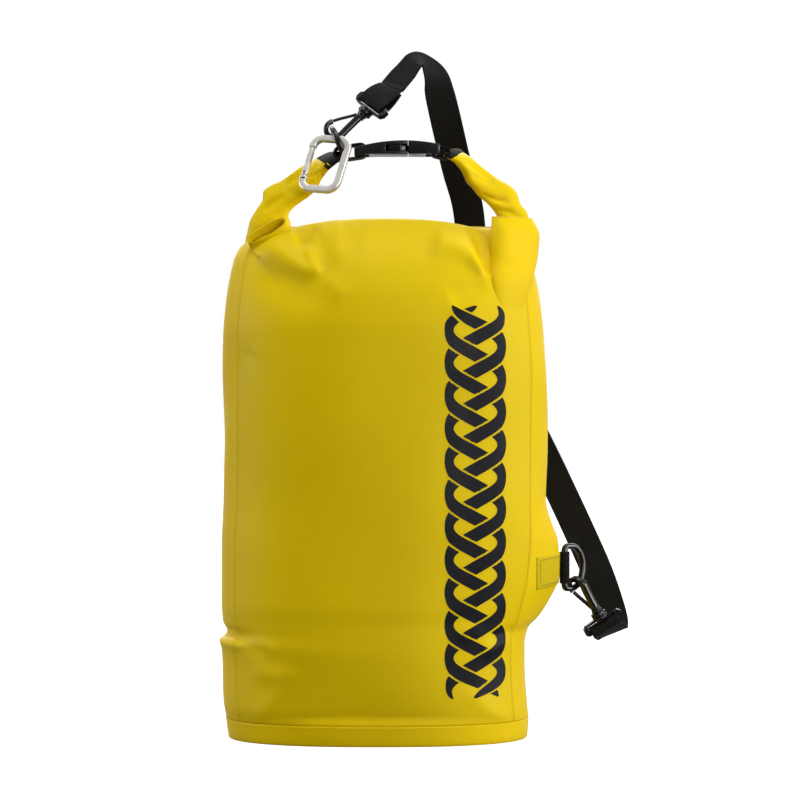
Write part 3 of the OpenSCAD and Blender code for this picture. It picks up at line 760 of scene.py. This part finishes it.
def add_sleeve(name, major, axis, stations, open_cut, mat, folds=(), lip=1.3):
    """A flattened sleeve of fabric with an open, rolled rim at its first station.
    stations: centre, half width, half thickness; axis points from the opening into the bag."""
    major, axis = unit(major), unit(axis)
    thick = unit(np.cross(axis, major))
    if thick[1] < 0:
        thick = -thick
    line = smooth_path([[*c, hw, ht] for c, hw, ht in stations], 10)
    depth = length_along(line[:, :3])
    around = 72
    a = np.arange(around) * TURN / around
    cu, su = power(np.cos(a), 0.8), power(np.sin(a), 0.9)

    def ring(i, inset):
        centre, hw, ht = line[i, :3], line[i, 3], line[i, 4]
        cut = open_cut * math.exp(-depth[i] / 9.0)
        return (centre + major * ((hw - inset) * cu)[:, None] + thick * ((ht - inset) * su)[:, None]
                - axis * (cut * su)[:, None])

    rings = [ring(i, lip * 1.25) for i in (4, 3, 2, 1, 0)]
    rings += [ring(0, inset) - axis * back
              for inset, back in ((lip * 1.1, lip * 0.35), (lip * 0.5, lip * 0.75), (0.1, lip * 0.4))]
    rim = len(rings)
    rings += [ring(i, 0.0) for i in range(len(line))]
    g = np.array(rings)
    m = len(g)
    # painted shade: the rolled lip round the opening is darkened through the darkening value in st
    toned = [0.8 if abs(k - rim + 1.5) < 2 else 0.0 for k in range(m)]
    st = [[(s, k * 2.0, toned[k]) for s in a * 20] for k in range(m)]
    fold = strokes(g[..., 0], g[..., 2], folds)
    fold[:rim] = 0
    g = g + tube_normals(g) * fold[..., None]
    return piece(name, g, grid_faces(m, around, True), mat, st=st, slot="coated_fabric")


def seated(x, z, hw, ht, proud):
    """A sleeve station whose front stands that far in front of the shell."""
    y, _ = surface_at(x, z)
    return [x, y + ht - proud, z], hw, ht


rim_y, _ = surface_at(-84.5, 398.0)
add_sleeve("corner_fold_left_fabric", (0.86, 0.0, 0.511), (0.51, 0.06, -0.86),
           [([-87.2, rim_y - 0.6, 401.2], 17.6, 6.0),
            seated(-84.2, 396.0, 18.0, 7.0, 0.9), seated(-80.0, 389.0, 17.0, 8.0, -2.6),
            seated(-75.0, 381.0, 15.5, 8.0, -6.0)],
           4.2, fabric)
rim_y, _ = surface_at(106.0, 394.0)
add_sleeve("corner_fold_right_fabric", (0.76, 0.65, 0.0), (0.02, -0.12, -1.0),
           [([106.3, rim_y + 0.5, 411.5], 20.6, 7.0), ([108.6, rim_y - 2.5, 400.5], 24.0, 8.5),
            ([107.8, rim_y - 7.0, 388.0], 24.2, 9.0), ([106.4, rim_y - 13.0, 375.0], 23.4, 9.0),
            seated(104.2, 361.0, 21.0, 7.0, 2.8), seated(102.5, 348.0, 17.5, 6.0, 0.2),
            seated(101.0, 335.0, 13.0, 5.0, -2.2), seated(100.0, 323.0, 9.0, 3.0, -4.8)],
           1.0, fabric_painted_lit_side, [([(96, 410), (101, 392), (96, 376)], 1.0, 5, 6, 0.3),
                              ([(110, 408), (113, 392), (108, 376)], -0.9, 4, 6, 0.3)])

# rolled mouth of the bag, lying behind the shoulder: a spiral of flattened fabric
ROLL_Y, ROLL_Z, ROLL_DEEP, ROLL_HIGH, ROLL_TURNS = 20, 401.5, 16.6, 6.6, 2.25
roll_x = np.linspace(-92.0, 101.0, 60)
turn = np.linspace(0, TURN * ROLL_TURNS, 96)
unrolled = (turn[-1] - turn) / turn[-1]
rows = []
for x in roll_x:
    size = (1.0 - 0.05 * abs((x - 4) / 96) ** 3) * (1.0 - 0.05 * ROLL_TURNS * unrolled)
    wobble = 0.35 * math.sin(x / 9.0) + 0.3 * math.sin(x / 4.1 + 1)
    y = ROLL_Y + ROLL_DEEP * size * power(np.cos(turn), 0.85)
    z = ROLL_Z + (ROLL_HIGH + wobble * 0.3) * size * np.sin(turn) * (1 - 0.25 * unrolled)
    rows.append(np.stack([np.full(turn.shape, x), y, z], 1))
roll = np.array(rows)
m, n = roll.shape[:2]
st = [[(x, t * 12, 0) for t in turn] for x in roll_x]
roll_faces = grid_faces(m, n) + grid_faces(m, n, flip=True, base=m * n)
roll_faces += [(k + n - 1, m * n + k + n - 1, m * n + k + 2 * n - 1, k + 2 * n - 1)
               for k in range(0, (m - 1) * n, n)]
solid("rolled_top_fabric", (np.array([roll, roll - grid_normals(roll) * 0.9]), roll_faces, [st, st]),
      fabric, slot="coated_fabric", replaces=("rolled_top",))


# ---------------- the roll's two arms
def arm_stations(stations, steps):
    """Centre, directions across the band and out of its face, half width and half thickness along
    a twisted band. stations: outer x and z, inner x and z, y, twist, half thickness. At no twist
    its face is to the front; at 90 degrees it lies flat, face up."""
    rows = []
    for ox, oz, ix, iz, y, twist, t in stations:
        outer, inner = np.array([ox, oz]), np.array([ix, iz])
        half = np.linalg.norm(outer - inner) / 2
        c, s = math.cos(math.radians(twist)), math.sin(math.radians(twist))
        w = min(math.sqrt(max(half ** 2 - (t * s) ** 2, 1.0)) / max(c, 0.2), 17.5)
        rows.append([*((outer + inner) / 2), y, *unit(outer - inner), c, s, w, t])
    for cx, cz, y, ax, az, c, s, w, t in smooth_path(rows, steps):
        ax, az = unit([ax, az])
        yield np.array([cx, y, cz]), np.array([ax * c, s, az * c]), np.array([ax * s, -c, az * s]), w, t


def arm(name, stations, folds, mat, body, slot="coated_fabric", replaces=(), around=64):
    a = np.arange(around) * TURN / around
    cu, su = power(np.cos(a), 0.75), power(np.sin(a), 0.8)
    g = np.array([centre + across * (w * cu)[:, None] + face * (t * su)[:, None]
                  for centre, across, face, w, t in arm_stations(stations, 9)])
    m, n = g.shape[:2]
    out = tube_normals(g)
    seen = np.clip(-out[..., 1] * 2.0, 0, 1) + 0.5 * np.clip(out[..., 1] * 2.0, 0, 1)
    g = g + out * (strokes(g[..., 0], g[..., 2], folds) * seen)[..., None]
    s = length_along(g.mean(1))
    girth = np.linalg.norm(np.roll(g, -1, 1) - g, axis=2).sum(1)
    st = np.stack([np.repeat(s[:, None], n, 1), np.arange(n)[None] / n * girth[:, None],
                   np.zeros((m, n))], 2)
    return solid(name, (g, grid_faces(m, n, True) + end_caps(m, n), st), mat, body, slot=slot,
                 replaces=replaces)


# outer x and z, inner x and z, y, twist, half thickness
LEFT_ARM = [
    [-108, 392, -80, 386, 20, 10, 7.0], [-105.5, 404, -72, 401, 20, 12, 7.0],
    [-103, 413.5, -70.5, 409.5, 20, 14, 7.0], [-97, 423.5, -72.5, 417, 20.5, 18, 6.6],
    [-93.2, 429.5, -68.6, 423, 21, 20, 6.4], [-92.3, 437, -62.5, 427.5, 21.5, 24, 6.4],
    [-86, 442.3, -55.5, 432, 22, 28, 6.4], [-77, 446, -49.5, 438.5, 21.5, 36, 6.2],
    [-66, 453.8, -45.5, 446.5, 21, 48, 5.6], [-55.5, 460.5, -42, 450.5, 19.6, 62, 4.6],
    [-48.6, 465.2, -37.0, 454.6, 18.2, 70, 3.4]]
arm("arm_left_fabric", LEFT_ARM, [
    ([(-94, 419), (-85, 427), (-74, 435)], -1.7, 1.7, 2.6, 0.25),
    ([(-92, 424), (-84, 431), (-73, 438)], 0.8, 2.4, 2.4, 0.3),
    ([(-78, 441), (-68, 447), (-57, 455)], -2.3, 1.8, 3.0, 0.2),
    ([(-82, 443.5), (-70, 451), (-58, 458)], 0.9, 2.0, 2.0, 0.3),
    ([(-58, 446.5), (-50, 449.5), (-38, 454)], -1.3, 1.2, 1.4, 0.2),
    ([(-98, 404), (-90, 411), (-80, 417)], 1.2, 3.0, 3.5, 0.3),
    ([(-88, 402), (-80, 408), (-74, 418)], -1.0, 2.5, 2.5, 0.3)],
    fabric, "bag", replaces=("arm_left",))
RIGHT_ARM = [
    [113, 386, 92, 384, 18, 8, 7.0], [119, 398, 94, 400, 18, 10, 7.0],
    [121.5, 412.5, 96.5, 413, 18, 12, 7.0], [119.5, 420, 93, 420.5, 19, 14, 6.8],
    [114.8, 426.5, 88, 426.4, 20.5, 18, 6.4], [111.6, 435.6, 81.5, 431.8, 21.5, 22, 6.4],
    [106.3, 441.4, 76.5, 438, 22, 28, 6.4], [96, 447.2, 71.5, 443.6, 22, 36, 6.0],
    [82.3, 457.3, 66.8, 453.2, 21, 50, 5.0], [72.6, 465.4, 61, 459.4, 19, 64, 4.2],
    [65.2, 471.2, 51.2, 463.0, 17.0, 70, 3.4]]
right_arm = arm("arm_right_fabric", RIGHT_ARM, [
    ([(69, 463), (80, 454), (96, 443.5)], -2.4, 2.6, 1.8, 0.25),
    ([(72, 451), (84, 445), (96, 442)], -1.3, 1.3, 1.3, 0.3),
    ([(67, 457), (76, 450), (86, 448)], 1.0, 2.0, 2.4, 0.3),
    ([(80, 434), (94, 429.5), (108, 425)], -1.9, 1.5, 1.8, 0.25),
    ([(86, 426), (102, 425), (116, 420)], 1.5, 1.8, 2.4, 0.25),
    ([(90, 421), (104, 419.5), (118, 414)], -1.2, 1.5, 1.5, 0.3),
    ([(100, 436), (106, 431), (110, 427)], 0.9, 3.0, 3.0, 0.3)],
    fabric, None, replaces=("arm_right",))

# black ends of the roll, turned into webbing that holds the buckle
LEFT_TAB = [[-52.5, 462.6, -39.7, 452.4, 18.9, 66, 3.6], [-47.6, 466.2, -35.6, 454.8, 18.2, 70, 4.0],
            [-41.5, 469.2, -31.6, 457.6, 17.2, 72, 3.4], [-36.0, 470.0, -29.2, 459.4, 16.0, 76, 2.6],
            [-32.0, 469.6, -27.4, 462.6, 14.8, 82, 1.8]]
arm("closure_tab_left_fabric", LEFT_TAB, [], webbing_fold, "bag", "black_webbing")
RIGHT_TAB = [[69.6, 467.4, 58.4, 461.2, 18.0, 68, 3.3], [65.8, 470.9, 54.4, 463.2, 17.4, 70, 3.7],
             [60.8, 471.4, 51.8, 463.8, 16.0, 76, 3.0], [56.4, 470.0, 50.8, 463.9, 15.0, 82, 1.9]]
arm("closure_tab_right_fabric", RIGHT_TAB, [], webbing_fold, "buckle_male", "black_webbing")


def stadium(a, b, r, n=14, y=14.0):
    """A closed path round two points of the XZ plane, r away from them."""
    a, b = np.array(a, float), np.array(b, float)
    d = unit(b - a)
    out = []
    for c, a0 in ((a, 90), (b, -90)):
        for t in np.radians(np.linspace(a0, a0 + 180, n)):
            x, z = c + r * (d * math.cos(t) + np.array([-d[1], d[0]]) * math.sin(t))
            out.append([x, y, z])
    return np.array(out)


flat_web = rounded_rect(25.4, 1.4, 0.6)
swept("closure_loop_left_webbing", stadium((-30, 465.9), (-14.2, 468.2), 5.3), (0, 1, 0), flat_web,
      webbing_fold, "bag", True, slot="black_webbing", replaces=("closure_tab_left",))
swept("closure_loop_right_webbing", stadium((53.6, 466), (46.6, 467.6), 3.9), (0, 1, 0), flat_web,
      webbing_fold, "buckle_male", True, slot="black_webbing", replaces=("closure_tab_right",))


# ---------------- shoulder strap
# the strap's route, from the upper hook over the top and down to the lower hook, and the
# direction across it at each point
STRAP = [[10.7, 32, 520.9], [20.9, 38, 533.7], [29.4, 42, 543.8], [36.8, 46, 543.1],
         [45.8, 53, 532.4], [50.8, 62, 516.5], [58.2, 73, 486.3], [65.2, 83.5, 458.3],
         [74.4, 95, 425.1], [80, 103.5, 367], [93, 104.5, 317], [108, 98, 279],
         [123.4, 84, 248.3], [144.7, 74, 204], [164.8, 62, 160], [178.8, 52, 127.2],
         [187, 45, 102.5], [190.3, 39.5, 89], [190.2, 35.2, 83.2]]
STRAP_W = [[0.62, -0.64, -0.40], [0.526, -0.69, -0.49], [0.225, -0.80, -0.56],
           [-0.19, -0.84, -0.51], [-0.72, -0.62, -0.25], [-0.93, -0.25, -0.16],
           [-0.985, 0.05, -0.15], [-0.98, 0.1, -0.15], [-0.97, 0.05, -0.2], [-0.96, 0, -0.26],
           [-0.94, 0.1, -0.33], [-0.9, 0.22, -0.38], [-0.89, 0.2, -0.42], [-0.9, 0.05, -0.44],
           [-0.91, 0, -0.42], [-0.93, 0, -0.37], [-0.94, 0, -0.35], [-0.94, 0, -0.35],
           [-0.94, 0, -0.35]]
SPAN = 12                         # steps between two of the strap's points
strap_path, strap_side = smooth_path(STRAP, SPAN), smooth_path(STRAP_W, SPAN)
# webbing in section: a flat weave with a firmer, slightly thicker cord along each edge
half = [(-12.7, 0.0), (-12.4, 0.62), (-11.7, 0.9), (-10.9, 0.86), (-10.2, 0.76), (-6, 0.8), (0, 0.82),
        (6, 0.8), (10.2, 0.76), (10.9, 0.86), (11.7, 0.9), (12.4, 0.62)]
web_profile = np.array(half + [(-x, -y) for x, y in half])
SPLIT = 9 * SPAN                  # where the upper and the lower half of the strap meet
upper_strap = swept("strap_upper_webbing", strap_path[:SPLIT + 1], strap_side[:SPLIT + 1], web_profile,
                    webbing, None, slot="black_webbing", replaces=("strap_main",))
lower_strap = swept("strap_lower_webbing", strap_path[SPLIT:], strap_side[SPLIT:], web_profile,
                    webbing, None, slot="black_webbing")


def flat_to(v, u):
    v, u = np.asarray(v, float), unit(u)
    return unit(v - (v @ u) * u)


def strap_end(name, s, u, v, far, w_far, body, replaced):
    """The strap's end, folded round the snap hook's crossbar and back on itself."""
    s, u = np.array(s, float), unit(u)
    a = s - u * 13.6
    b = flat_to(v, u)
    d = -flat_to(np.array(far) - a, b)
    n = np.cross(d, b)
    far = np.array(far)
    p = [far + n * 1.7, a + (far - a) * 0.45 + n * 3.6, a + n * 4.2 + d * 0.4, a + d * 4.3 + n * 1.5,
         a + d * 4.3 - n * 1.5, a - n * 4.2 + d * 0.4, a + (far - a) * 0.45 - n * 3.6, far - n * 1.7]
    w = [w_far] + [b] * 6 + [w_far]
    return swept(name, smooth_path(p, 8), smooth_path(w, 8), web_profile * [1, 0.95], webbing_fold, body,
                 slot="black_webbing", replaces=(replaced,))


# each snap hook: its swivel's centre, its length's direction, and two across it
SNAP_UP, UP_U, UP_V = [-12.7, 21.9, 498.5], [-0.713, -0.148, -0.685], [0.76, -0.53, -0.38]
UP_N = [-0.658, 0.094, 0.747]
SNAP_LO, LO_U, LO_V = [175.6, 6.4, 98.7], [-0.458, -0.27, 0.847], [0.90, 0.14, 0.40]
LO_N = [-0.71, 0.663, -0.238]
far_up = np.array(STRAP[0]) - unit(np.array(STRAP[1]) - STRAP[0]) * 1.2
far_lo = np.array(STRAP[-1]) + unit(np.array(STRAP[-1]) - STRAP[-2]) * 2.8
strap_end("strap_end_upper_webbing", SNAP_UP, UP_U, UP_V, far_up, STRAP_W[0], "upper_ring",
          "strap_end_upper")
strap_end("strap_end_lower_webbing", SNAP_LO, LO_U, LO_V, far_lo, [-v for v in STRAP_W[-1]], "lower_ring",
          "strap_end_lower")


def along_strap(share):
    """A point of the strap and its side and up directions, at a share of the first span."""
    steps = np.arange(len(strap_path))
    t = np.array([share, share + 0.02]) * SPAN
    p, w = (np.stack([np.interp(t, steps, line[:, c]) for c in range(3)], 1)
            for line in (strap_path, strap_side))
    side, up = frames_along(p, w)
    return p[0], side[0], up[0]


def stitches(name, path, gap, length, radius, mat, body, slot=None):
    """A row of short raised threads along a path."""
    path = np.asarray(path, float)
    s = length_along(path)
    count = max(1, int(s[-1] / gap))
    along = np.array([0, 0.12, 0.5, 0.88, 1])
    radii = radius * np.array([0.35, 0.85, 1.0, 0.85, 0.35])
    m, n = len(along), 6
    ang = np.arange(n) * TURN / n
    parts = []
    for i in range(count):
        t = np.clip((i + 0.5) * s[-1] / count + length * (along - 0.5), 0, s[-1])
        p = np.stack([np.interp(t, s, path[:, c]) for c in range(3)], 1)
        d = unit(p[-1] - p[0])
        side = flat_to([0.3, 0.5, 0.8], d)
        disc = side * np.cos(ang)[:, None] + np.cross(side, d) * np.sin(ang)[:, None]
        pts = np.concatenate([c + disc * r for c, r in zip(p, radii)])
        parts.append((pts, grid_faces(m, n, True) + end_caps(m, n), np.zeros((m * n, 3))))
    return solid(name, joined(*parts), mat, body, slot=slot)


# rows of stitches where the strap's folded end is sewn down, on its front
for i, share in enumerate((0.10, 0.22)):
    middle, side, up = along_strap(share)
    middle = middle + up * (-1.15 if up[1] > 0 else 1.15)
    stitches("strap_stitch_upper_%d" % (i + 1), middle + side * np.linspace(-11, 11, 12)[:, None], 2.0,
             1.5, 0.36, thread_black, "upper_ring", "black_webbing")


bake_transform(right_arm)
tuple(v * MM for v in STRAP[7])
tuple(v * MM for v in STRAP[2])
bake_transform(upper_strap)
tuple(v * MM for v in STRAP[11])
tuple(v * MM for v in STRAP[17])
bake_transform(lower_strap)


# ---------------- D-rings
def arc(c, r, a0, a1, n):
    a = np.radians(np.linspace(a0, a1, n))
    return [(c[0] + r * math.cos(t), c[1] + r * math.sin(t)) for t in a]


def dee_path(origin, out_dir, bar_dir):
    """The ring's centreline: a straight bar, short sides and a round crown."""
    half, side, crown, r = 16.9, 7.8, 21.4, 3.2
    flat = [(0.0, y) for y in np.linspace(-half + r, half - r, 9)]
    flat += arc((r, half - r), r, 180, 90, 6)[1:]
    flat += [(side + (crown - side) * math.cos(t), half * math.sin(t))
             for t in np.radians(np.linspace(90, -90, 33))]
    flat += arc((r, -half + r), r, 270, 180, 6)[:-1]
    o, a, b = np.array(origin, float), unit(out_dir), unit(bar_dir)
    return np.array([o + a * x + b * y for x, y in flat]), np.cross(a, b)


RING_UP, RING_LO = [-28, 14, 466.5], [149, -6, 134.3]
for name, origin, out_dir, bar_dir, body, node in (
        ("d_ring_upper_moulded", RING_UP, (-0.40, 0, 0.917), (0, 1, 0), "upper_ring", "d_ring_upper"),
        ("d_ring_lower_moulded", RING_LO, (0.71, 0.704, 0), (0, 0, 1), "lower_ring", "d_ring_lower")):
    path, through = dee_path(origin, out_dir, bar_dir)
    swept(name, path, through, rounded_rect(5.0, 4.6, 1.9, 5), plastic, body, True,
          slot="black_plastic", replaces=(node,))


# ---------------- tab on the right gusset
right_cols = [k for k in range(len(angles)) if abs(math.remainder(angles[k], TURN)) < 1.3]
right_cols.sort(key=lambda k: P[N_ROWS // 2, k, 1])


def gusset_at(y, z):
    """How far right the gusset's surface is."""
    row = np.interp(z, P[:, right_cols[len(right_cols) // 2], 2], np.arange(N_ROWS))
    below = int(min(row, N_ROWS - 2))
    x = [np.interp(y, *P[r, sorted(right_cols, key=lambda k: P[r, k, 1])][:, [1, 0]].T)
         for r in (below, below + 1)]
    return x[0] * (1 - (row - below)) + x[1] * (row - below)


PATCH_X, PATCH_Y, PATCH_Z, PATCH_H = 124.4, -7.5, (118.4, 120.8), 26.4


def on_patch(u, v, lift):
    z = PATCH_Z[0] + (PATCH_Z[1] - PATCH_Z[0]) * u + PATCH_H * v
    ys = np.linspace(-60, PATCH_Y, 60)
    y_left = np.interp(PATCH_X, [gusset_at(t, z) for t in ys], ys)
    y = y_left + (PATCH_Y - y_left) * u
    x, dx = gusset_at(y, z), gusset_at(y + 1.0, z)
    n = unit(np.array([1.0, -(dx - x), 0.0]))
    return np.array([x, y, z]) + n * lift


PATCH_W, PATCH_LIFT, HEM = 38, 1.3, 0.9
pts, st = [], []
across = [0, 0.012, *np.linspace(0.03, 0.97, 24), 0.988, 1.0]
upward = [0, 0.018, *np.linspace(0.045, 0.955, 18), 0.982, 1.0]
for u in across:
    for v in upward:
        edge = min(u * PATCH_W, (1 - u) * PATCH_W, v * 26, (1 - v) * 26)
        pts.append(on_patch(u, v, PATCH_LIFT * min(1.0, edge / HEM) ** 0.5 - 0.1))
        st.append((v * PATCH_H, u * PATCH_W, 0))
piece("lower_tab_webbing", pts, grid_faces(len(across), len(upward), flip=True), olive, st=st,
      slot="olive_webbing", replaces=("lower_tab",))
corners = [(0.09, 0.12), (0.90, 0.12), (0.90, 0.88), (0.09, 0.88), (0.09, 0.12)]
seam_path = [on_patch(u0 + (u1 - u0) * t, v0 + (v1 - v0) * t, 1.35)
             for (u0, v0), (u1, v1) in zip(corners[:-1], corners[1:]) for t in np.linspace(0, 1, 12)[:-1]]
stitches("lower_tab_stitches", seam_path, 2.1, 1.5, 0.26, thread_olive, "bag", "olive_webbing")
# a loop of webbing round the ring's bar
loop = [[x, y, RING_LO[2]] for x, y in arc(RING_LO[:2], 3.55, 0, 350, 36)]
swept("lower_tab_loop", loop, (0, 0, 1), rounded_rect(25.4, 0.9, 0.35), webbing_fold, "bag", True,
      slot="olive_webbing")


# ---------------- stitches on the closure tabs
def edge_row(stations, share):
    """Points just over an arm's face, at a share of the way across it."""
    return np.array([centre + across * w * share + face * (t * (1 - share ** 2) ** 0.5 + 0.25)
                     for centre, across, face, w, t in arm_stations(stations, 6)])


stitches("tab_stitches_left", edge_row(LEFT_TAB, 0.72), 2.4, 1.6, 0.34, thread_yellow, "bag")
stitches("tab_stitches_right", edge_row(RIGHT_TAB, 0.6), 2.4, 1.6, 0.34, thread_yellow, "buckle_male")


# ---------------- print: a plain three-strand braid
PRINT_X, PRINT_Z0, PRINT_Z1, PERIOD = 76.0, 37.0, 341.0, 76.0
STRANDS, SWING, ROW_GAP, STRAND_GAP, ACROSS = 3, 20.5, 0.5, 1.8, 23


def strand_x(i, z):
    return PRINT_X + SWING * math.sin(TURN * (z - PRINT_Z0) / PERIOD + TURN * i / STRANDS)


def strand(i, z):
    """A strand's middle, half width across the print, and level in the braid."""
    phase = TURN * (z - PRINT_Z0) / PERIOD + TURN * i / STRANDS
    x = strand_x(i, z)
    ends = min(1.0, (z - PRINT_Z0) / 14, (PRINT_Z1 - z) / 14)
    half = (3.5 + 2.6 * math.cos(phase) ** 2) * max(ends, 0.02) ** 0.5
    lean = math.hypot(1.0, (strand_x(i, z + ROW_GAP) - x) / ROW_GAP)
    return x, half * min(lean, 1.7), math.sin(2 * phase)


def print_point(x, z, lift=0.22):
    y, n = surface_at(x, z)
    return [x + n[0] * lift, y + n[1] * lift, z + n[2] * lift]


pts, faces = [], []
rows = np.arange(PRINT_Z0, PRINT_Z1 + 0.01, ROW_GAP)
for i in range(STRANDS):
    base, under = len(pts), []
    for z in rows:
        x, half, level = strand(i, z)
        above = [(xj, hj) for xj, hj, lj in (strand(j, z) for j in range(STRANDS) if j != i) if lj > level]
        for px in x + np.linspace(-1, 1, ACROSS) * half:
            pts.append(print_point(px, z))
            under.append(any(abs(px - xj) < hj + STRAND_GAP for xj, hj in above))
    faces += [tuple(base + v for v in q) for q in grid_faces(len(rows), ACROSS)
              if not any(under[v] for v in q)]
used = sorted({v for f in faces for v in f})
index = {v: k for k, v in enumerate(used)}
piece("front_print_braid", [pts[v] for v in used], [[index[v] for v in f] for f in faces], ink,
      slot="coated_fabric")


# ---------------- snap hooks
def lathe(profile, n=28):
    """A turned solid along +x: (distance, radius) rows."""
    a = np.arange(n) * TURN / n
    pts = np.array([[[x, r * math.cos(t), r * math.sin(t)] for t in a] for x, r in profile])
    m = len(profile)
    return pts.reshape(-1, 3), grid_faces(m, n, True) + end_caps(m, n), np.zeros((m * n, 3))


def placed(part, s, u, v):
    """A part moved to s, with its x along u and its y in v's direction."""
    pts, faces, st = part
    u, v = unit(u), flat_to(v, u)
    return np.asarray(s) + pts @ np.array([u, v, np.cross(u, v)]), faces, st


HOOK_BOWL, BOWL_R = (25.0, 6.5), 7.0
hook_line = [(1.5, 0.1), (7.0, 0.05), (13.0, 0.0), (18.5, -0.1)] + arc(HOOK_BOWL, BOWL_R, -98, 122, 26)
hook_path = smooth_path([[x, y, 0.0] for x, y in hook_line], 3)
share = np.linspace(0, 1, len(hook_path))
hook_deep, hook_wide = 6.0 - 1.6 * smoothstep(0.7, 1.0, share), 6.6 - 1.9 * smoothstep(0.1, 0.5, share)
hook_profile = np.array([rounded_rect(d, w * 0.88, 1.9, 4) for d, w in zip(hook_deep, hook_wide)])
gate_line = [[20.8, 12.4, 0], [16.5, 10.4, 0], [12.0, 7.9, 0], [7.5, 5.4, 0], [3.6, 3.4, 0]]
collar = [(-6.4, 4.4), (-6.2, 5.6), (-5.8, 6.2), (-4.6, 6.2), (-4.2, 5.3), (-3.6, 5.3), (-3.2, 6.2),
          (-1.5, 6.2), (-1.1, 5.6), (-0.6, 5.0), (-0.5, 3.0)]
swivel = [(-0.2, 2.5), (0.1, 3.9), (0.4, 4.25), (1.5, 4.25), (1.8, 3.5), (2.4, 3.4), (2.7, 3.9),
          (3.7, 3.9), (4.0, 3.2), (6.0, 2.7)]
hook = joined(sweep(hook_path, (0, 0, 1), hook_profile), lathe(swivel))
gate = sweep(smooth_path(gate_line, 6), (0, 0, 1), rounded_rect(3.4, 2.3, 1.0))
for end, *where in (("upper", SNAP_UP, UP_U, UP_N), ("lower", SNAP_LO, LO_U, LO_N)):
    for kind, part in (("hook", hook), ("gate", gate)):
        solid("%s_snap_%s_moulded" % (end, kind), placed(part, *where), plastic, "%s_%s" % (end, kind),
              slot="black_plastic", replaces=("%s_snap_%s" % (end, kind),))
    solid(end + "_snap_collar", placed(lathe(collar, 36), *where), plastic, end + "_ring",
          slot="black_plastic")


# ---------------- snap link
LINK_TOP, LINK_ACROSS, LINK_ALONG = [-36.25, 6.0, 477.1], [0.90, -0.43, -0.10], [0.26, 0.33, 0.905]
HALF_W, HALF_L, CORNER_R = 15.6, 22.6, 8.0
HINGE = -8.8                      # the gate's rivet, along the link


def link_part(name, part, mat, body, slot, replaces=()):
    """A part of the link, drawn flat: x across it, y along it towards its top."""
    pts, faces, st = part
    along = unit(LINK_ALONG)
    across = flat_to(LINK_ACROSS, along)
    axes = np.array([across, along, np.cross(across, along)])
    solid(name, (np.array(LINK_TOP) - along * HALF_L + pts @ axes, faces, st), mat, body, slot=slot,
          replaces=replaces)


def stud(cx, cy, rx, ry, half, n=20):
    """A chamfered oval stud through the link."""
    pts = [[cx + rx * k * math.cos(t), cy + ry * k * math.sin(t), z]
           for k, z in ((0.8, -half), (1.0, 0.12 - half), (1.0, half - 0.12), (0.8, half))
           for t in np.arange(n) * TURN / n]
    return np.array(pts), grid_faces(4, n, True) + end_caps(4, n), np.zeros((4 * n, 3))


cx, cy = HALF_W - CORNER_R, HALF_L - CORNER_R
track = [(-HALF_W, y) for y in np.linspace(14.0, cy, 4)][:-1]
for x, y, start in ((-cx, cy, 180), (cx, cy, 90), (cx, -cy, 0), (-cx, -cy, -90)):
    track += arc((x, y), CORNER_R, start, start - 90, 12)
track += [(-HALF_W, y) for y in np.linspace(-cy, -12.0, 4)][1:]
link_part("snap_link_frame_machined",
          sweep([[x, y, 0.0] for x, y in track], (0, 0, 1), rounded_rect(4.0, 5.8, 1.05, 4)),
          aluminium, "snap_link", "satin_aluminium", ("snap_link_frame",))
# how far along, and how wide the gate is there
GATE = [(-11.2, 3.4), (-10.6, 4.4), (HINGE, 4.9), (-4, 4.8), (2, 4.8), (8, 4.8), (12.6, 4.6), (13.4, 3.6)]
link_part("snap_link_gate_machined",
          sweep([[-HALF_W, y, 0.0] for y, _ in GATE], (0, 0, 1),
                np.array([rounded_rect(3.4, t, 1.2, 4) for _, t in GATE])),
          aluminium, "link_gate", "satin_aluminium", ("snap_link_gate",))
link_part("snap_link_rivet_turned", stud(-HALF_W, HINGE, 1.15, 1.15, 2.15), steel, "snap_link",
          "steel_pin", ("snap_link_rivet",))
# painted shade: a near-black stud stands for the shade in the latch's recess
link_part("snap_link_latch_recess", stud(0.4 - HALF_W, -14.4, 2.2, 0.8, 2.06), painted_latch_shade, "snap_link",
          "steel_pin")


# ---------------- finishes on the pieces kept from the CAD
BEVEL, BUCKLE_BEVEL = 0.55 * MM, 0.7 * MM
for node in ("buckle_socket", "buckle_plug", "buckle_prong_front", "buckle_prong_rear",
             "upper_snap_base", "lower_snap_base", "strap_slider"):
    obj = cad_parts[node]
    obj.data.materials.clear()
    obj.data.materials.append(plastic)
    obj.data.polygons.foreach_set("use_smooth", [True] * len(obj.data.polygons))
    weld = obj.modifiers.new("weld", "WELD")
    weld.merge_threshold = 0.00002
    bevel = obj.modifiers.new("bevel", "BEVEL")
    bevel.width = BUCKLE_BEVEL if node in ("buckle_socket", "buckle_plug") else BEVEL
    bevel.segments = 3
    bevel.limit_method = "ANGLE"
    bevel.angle_limit = math.radians(38)
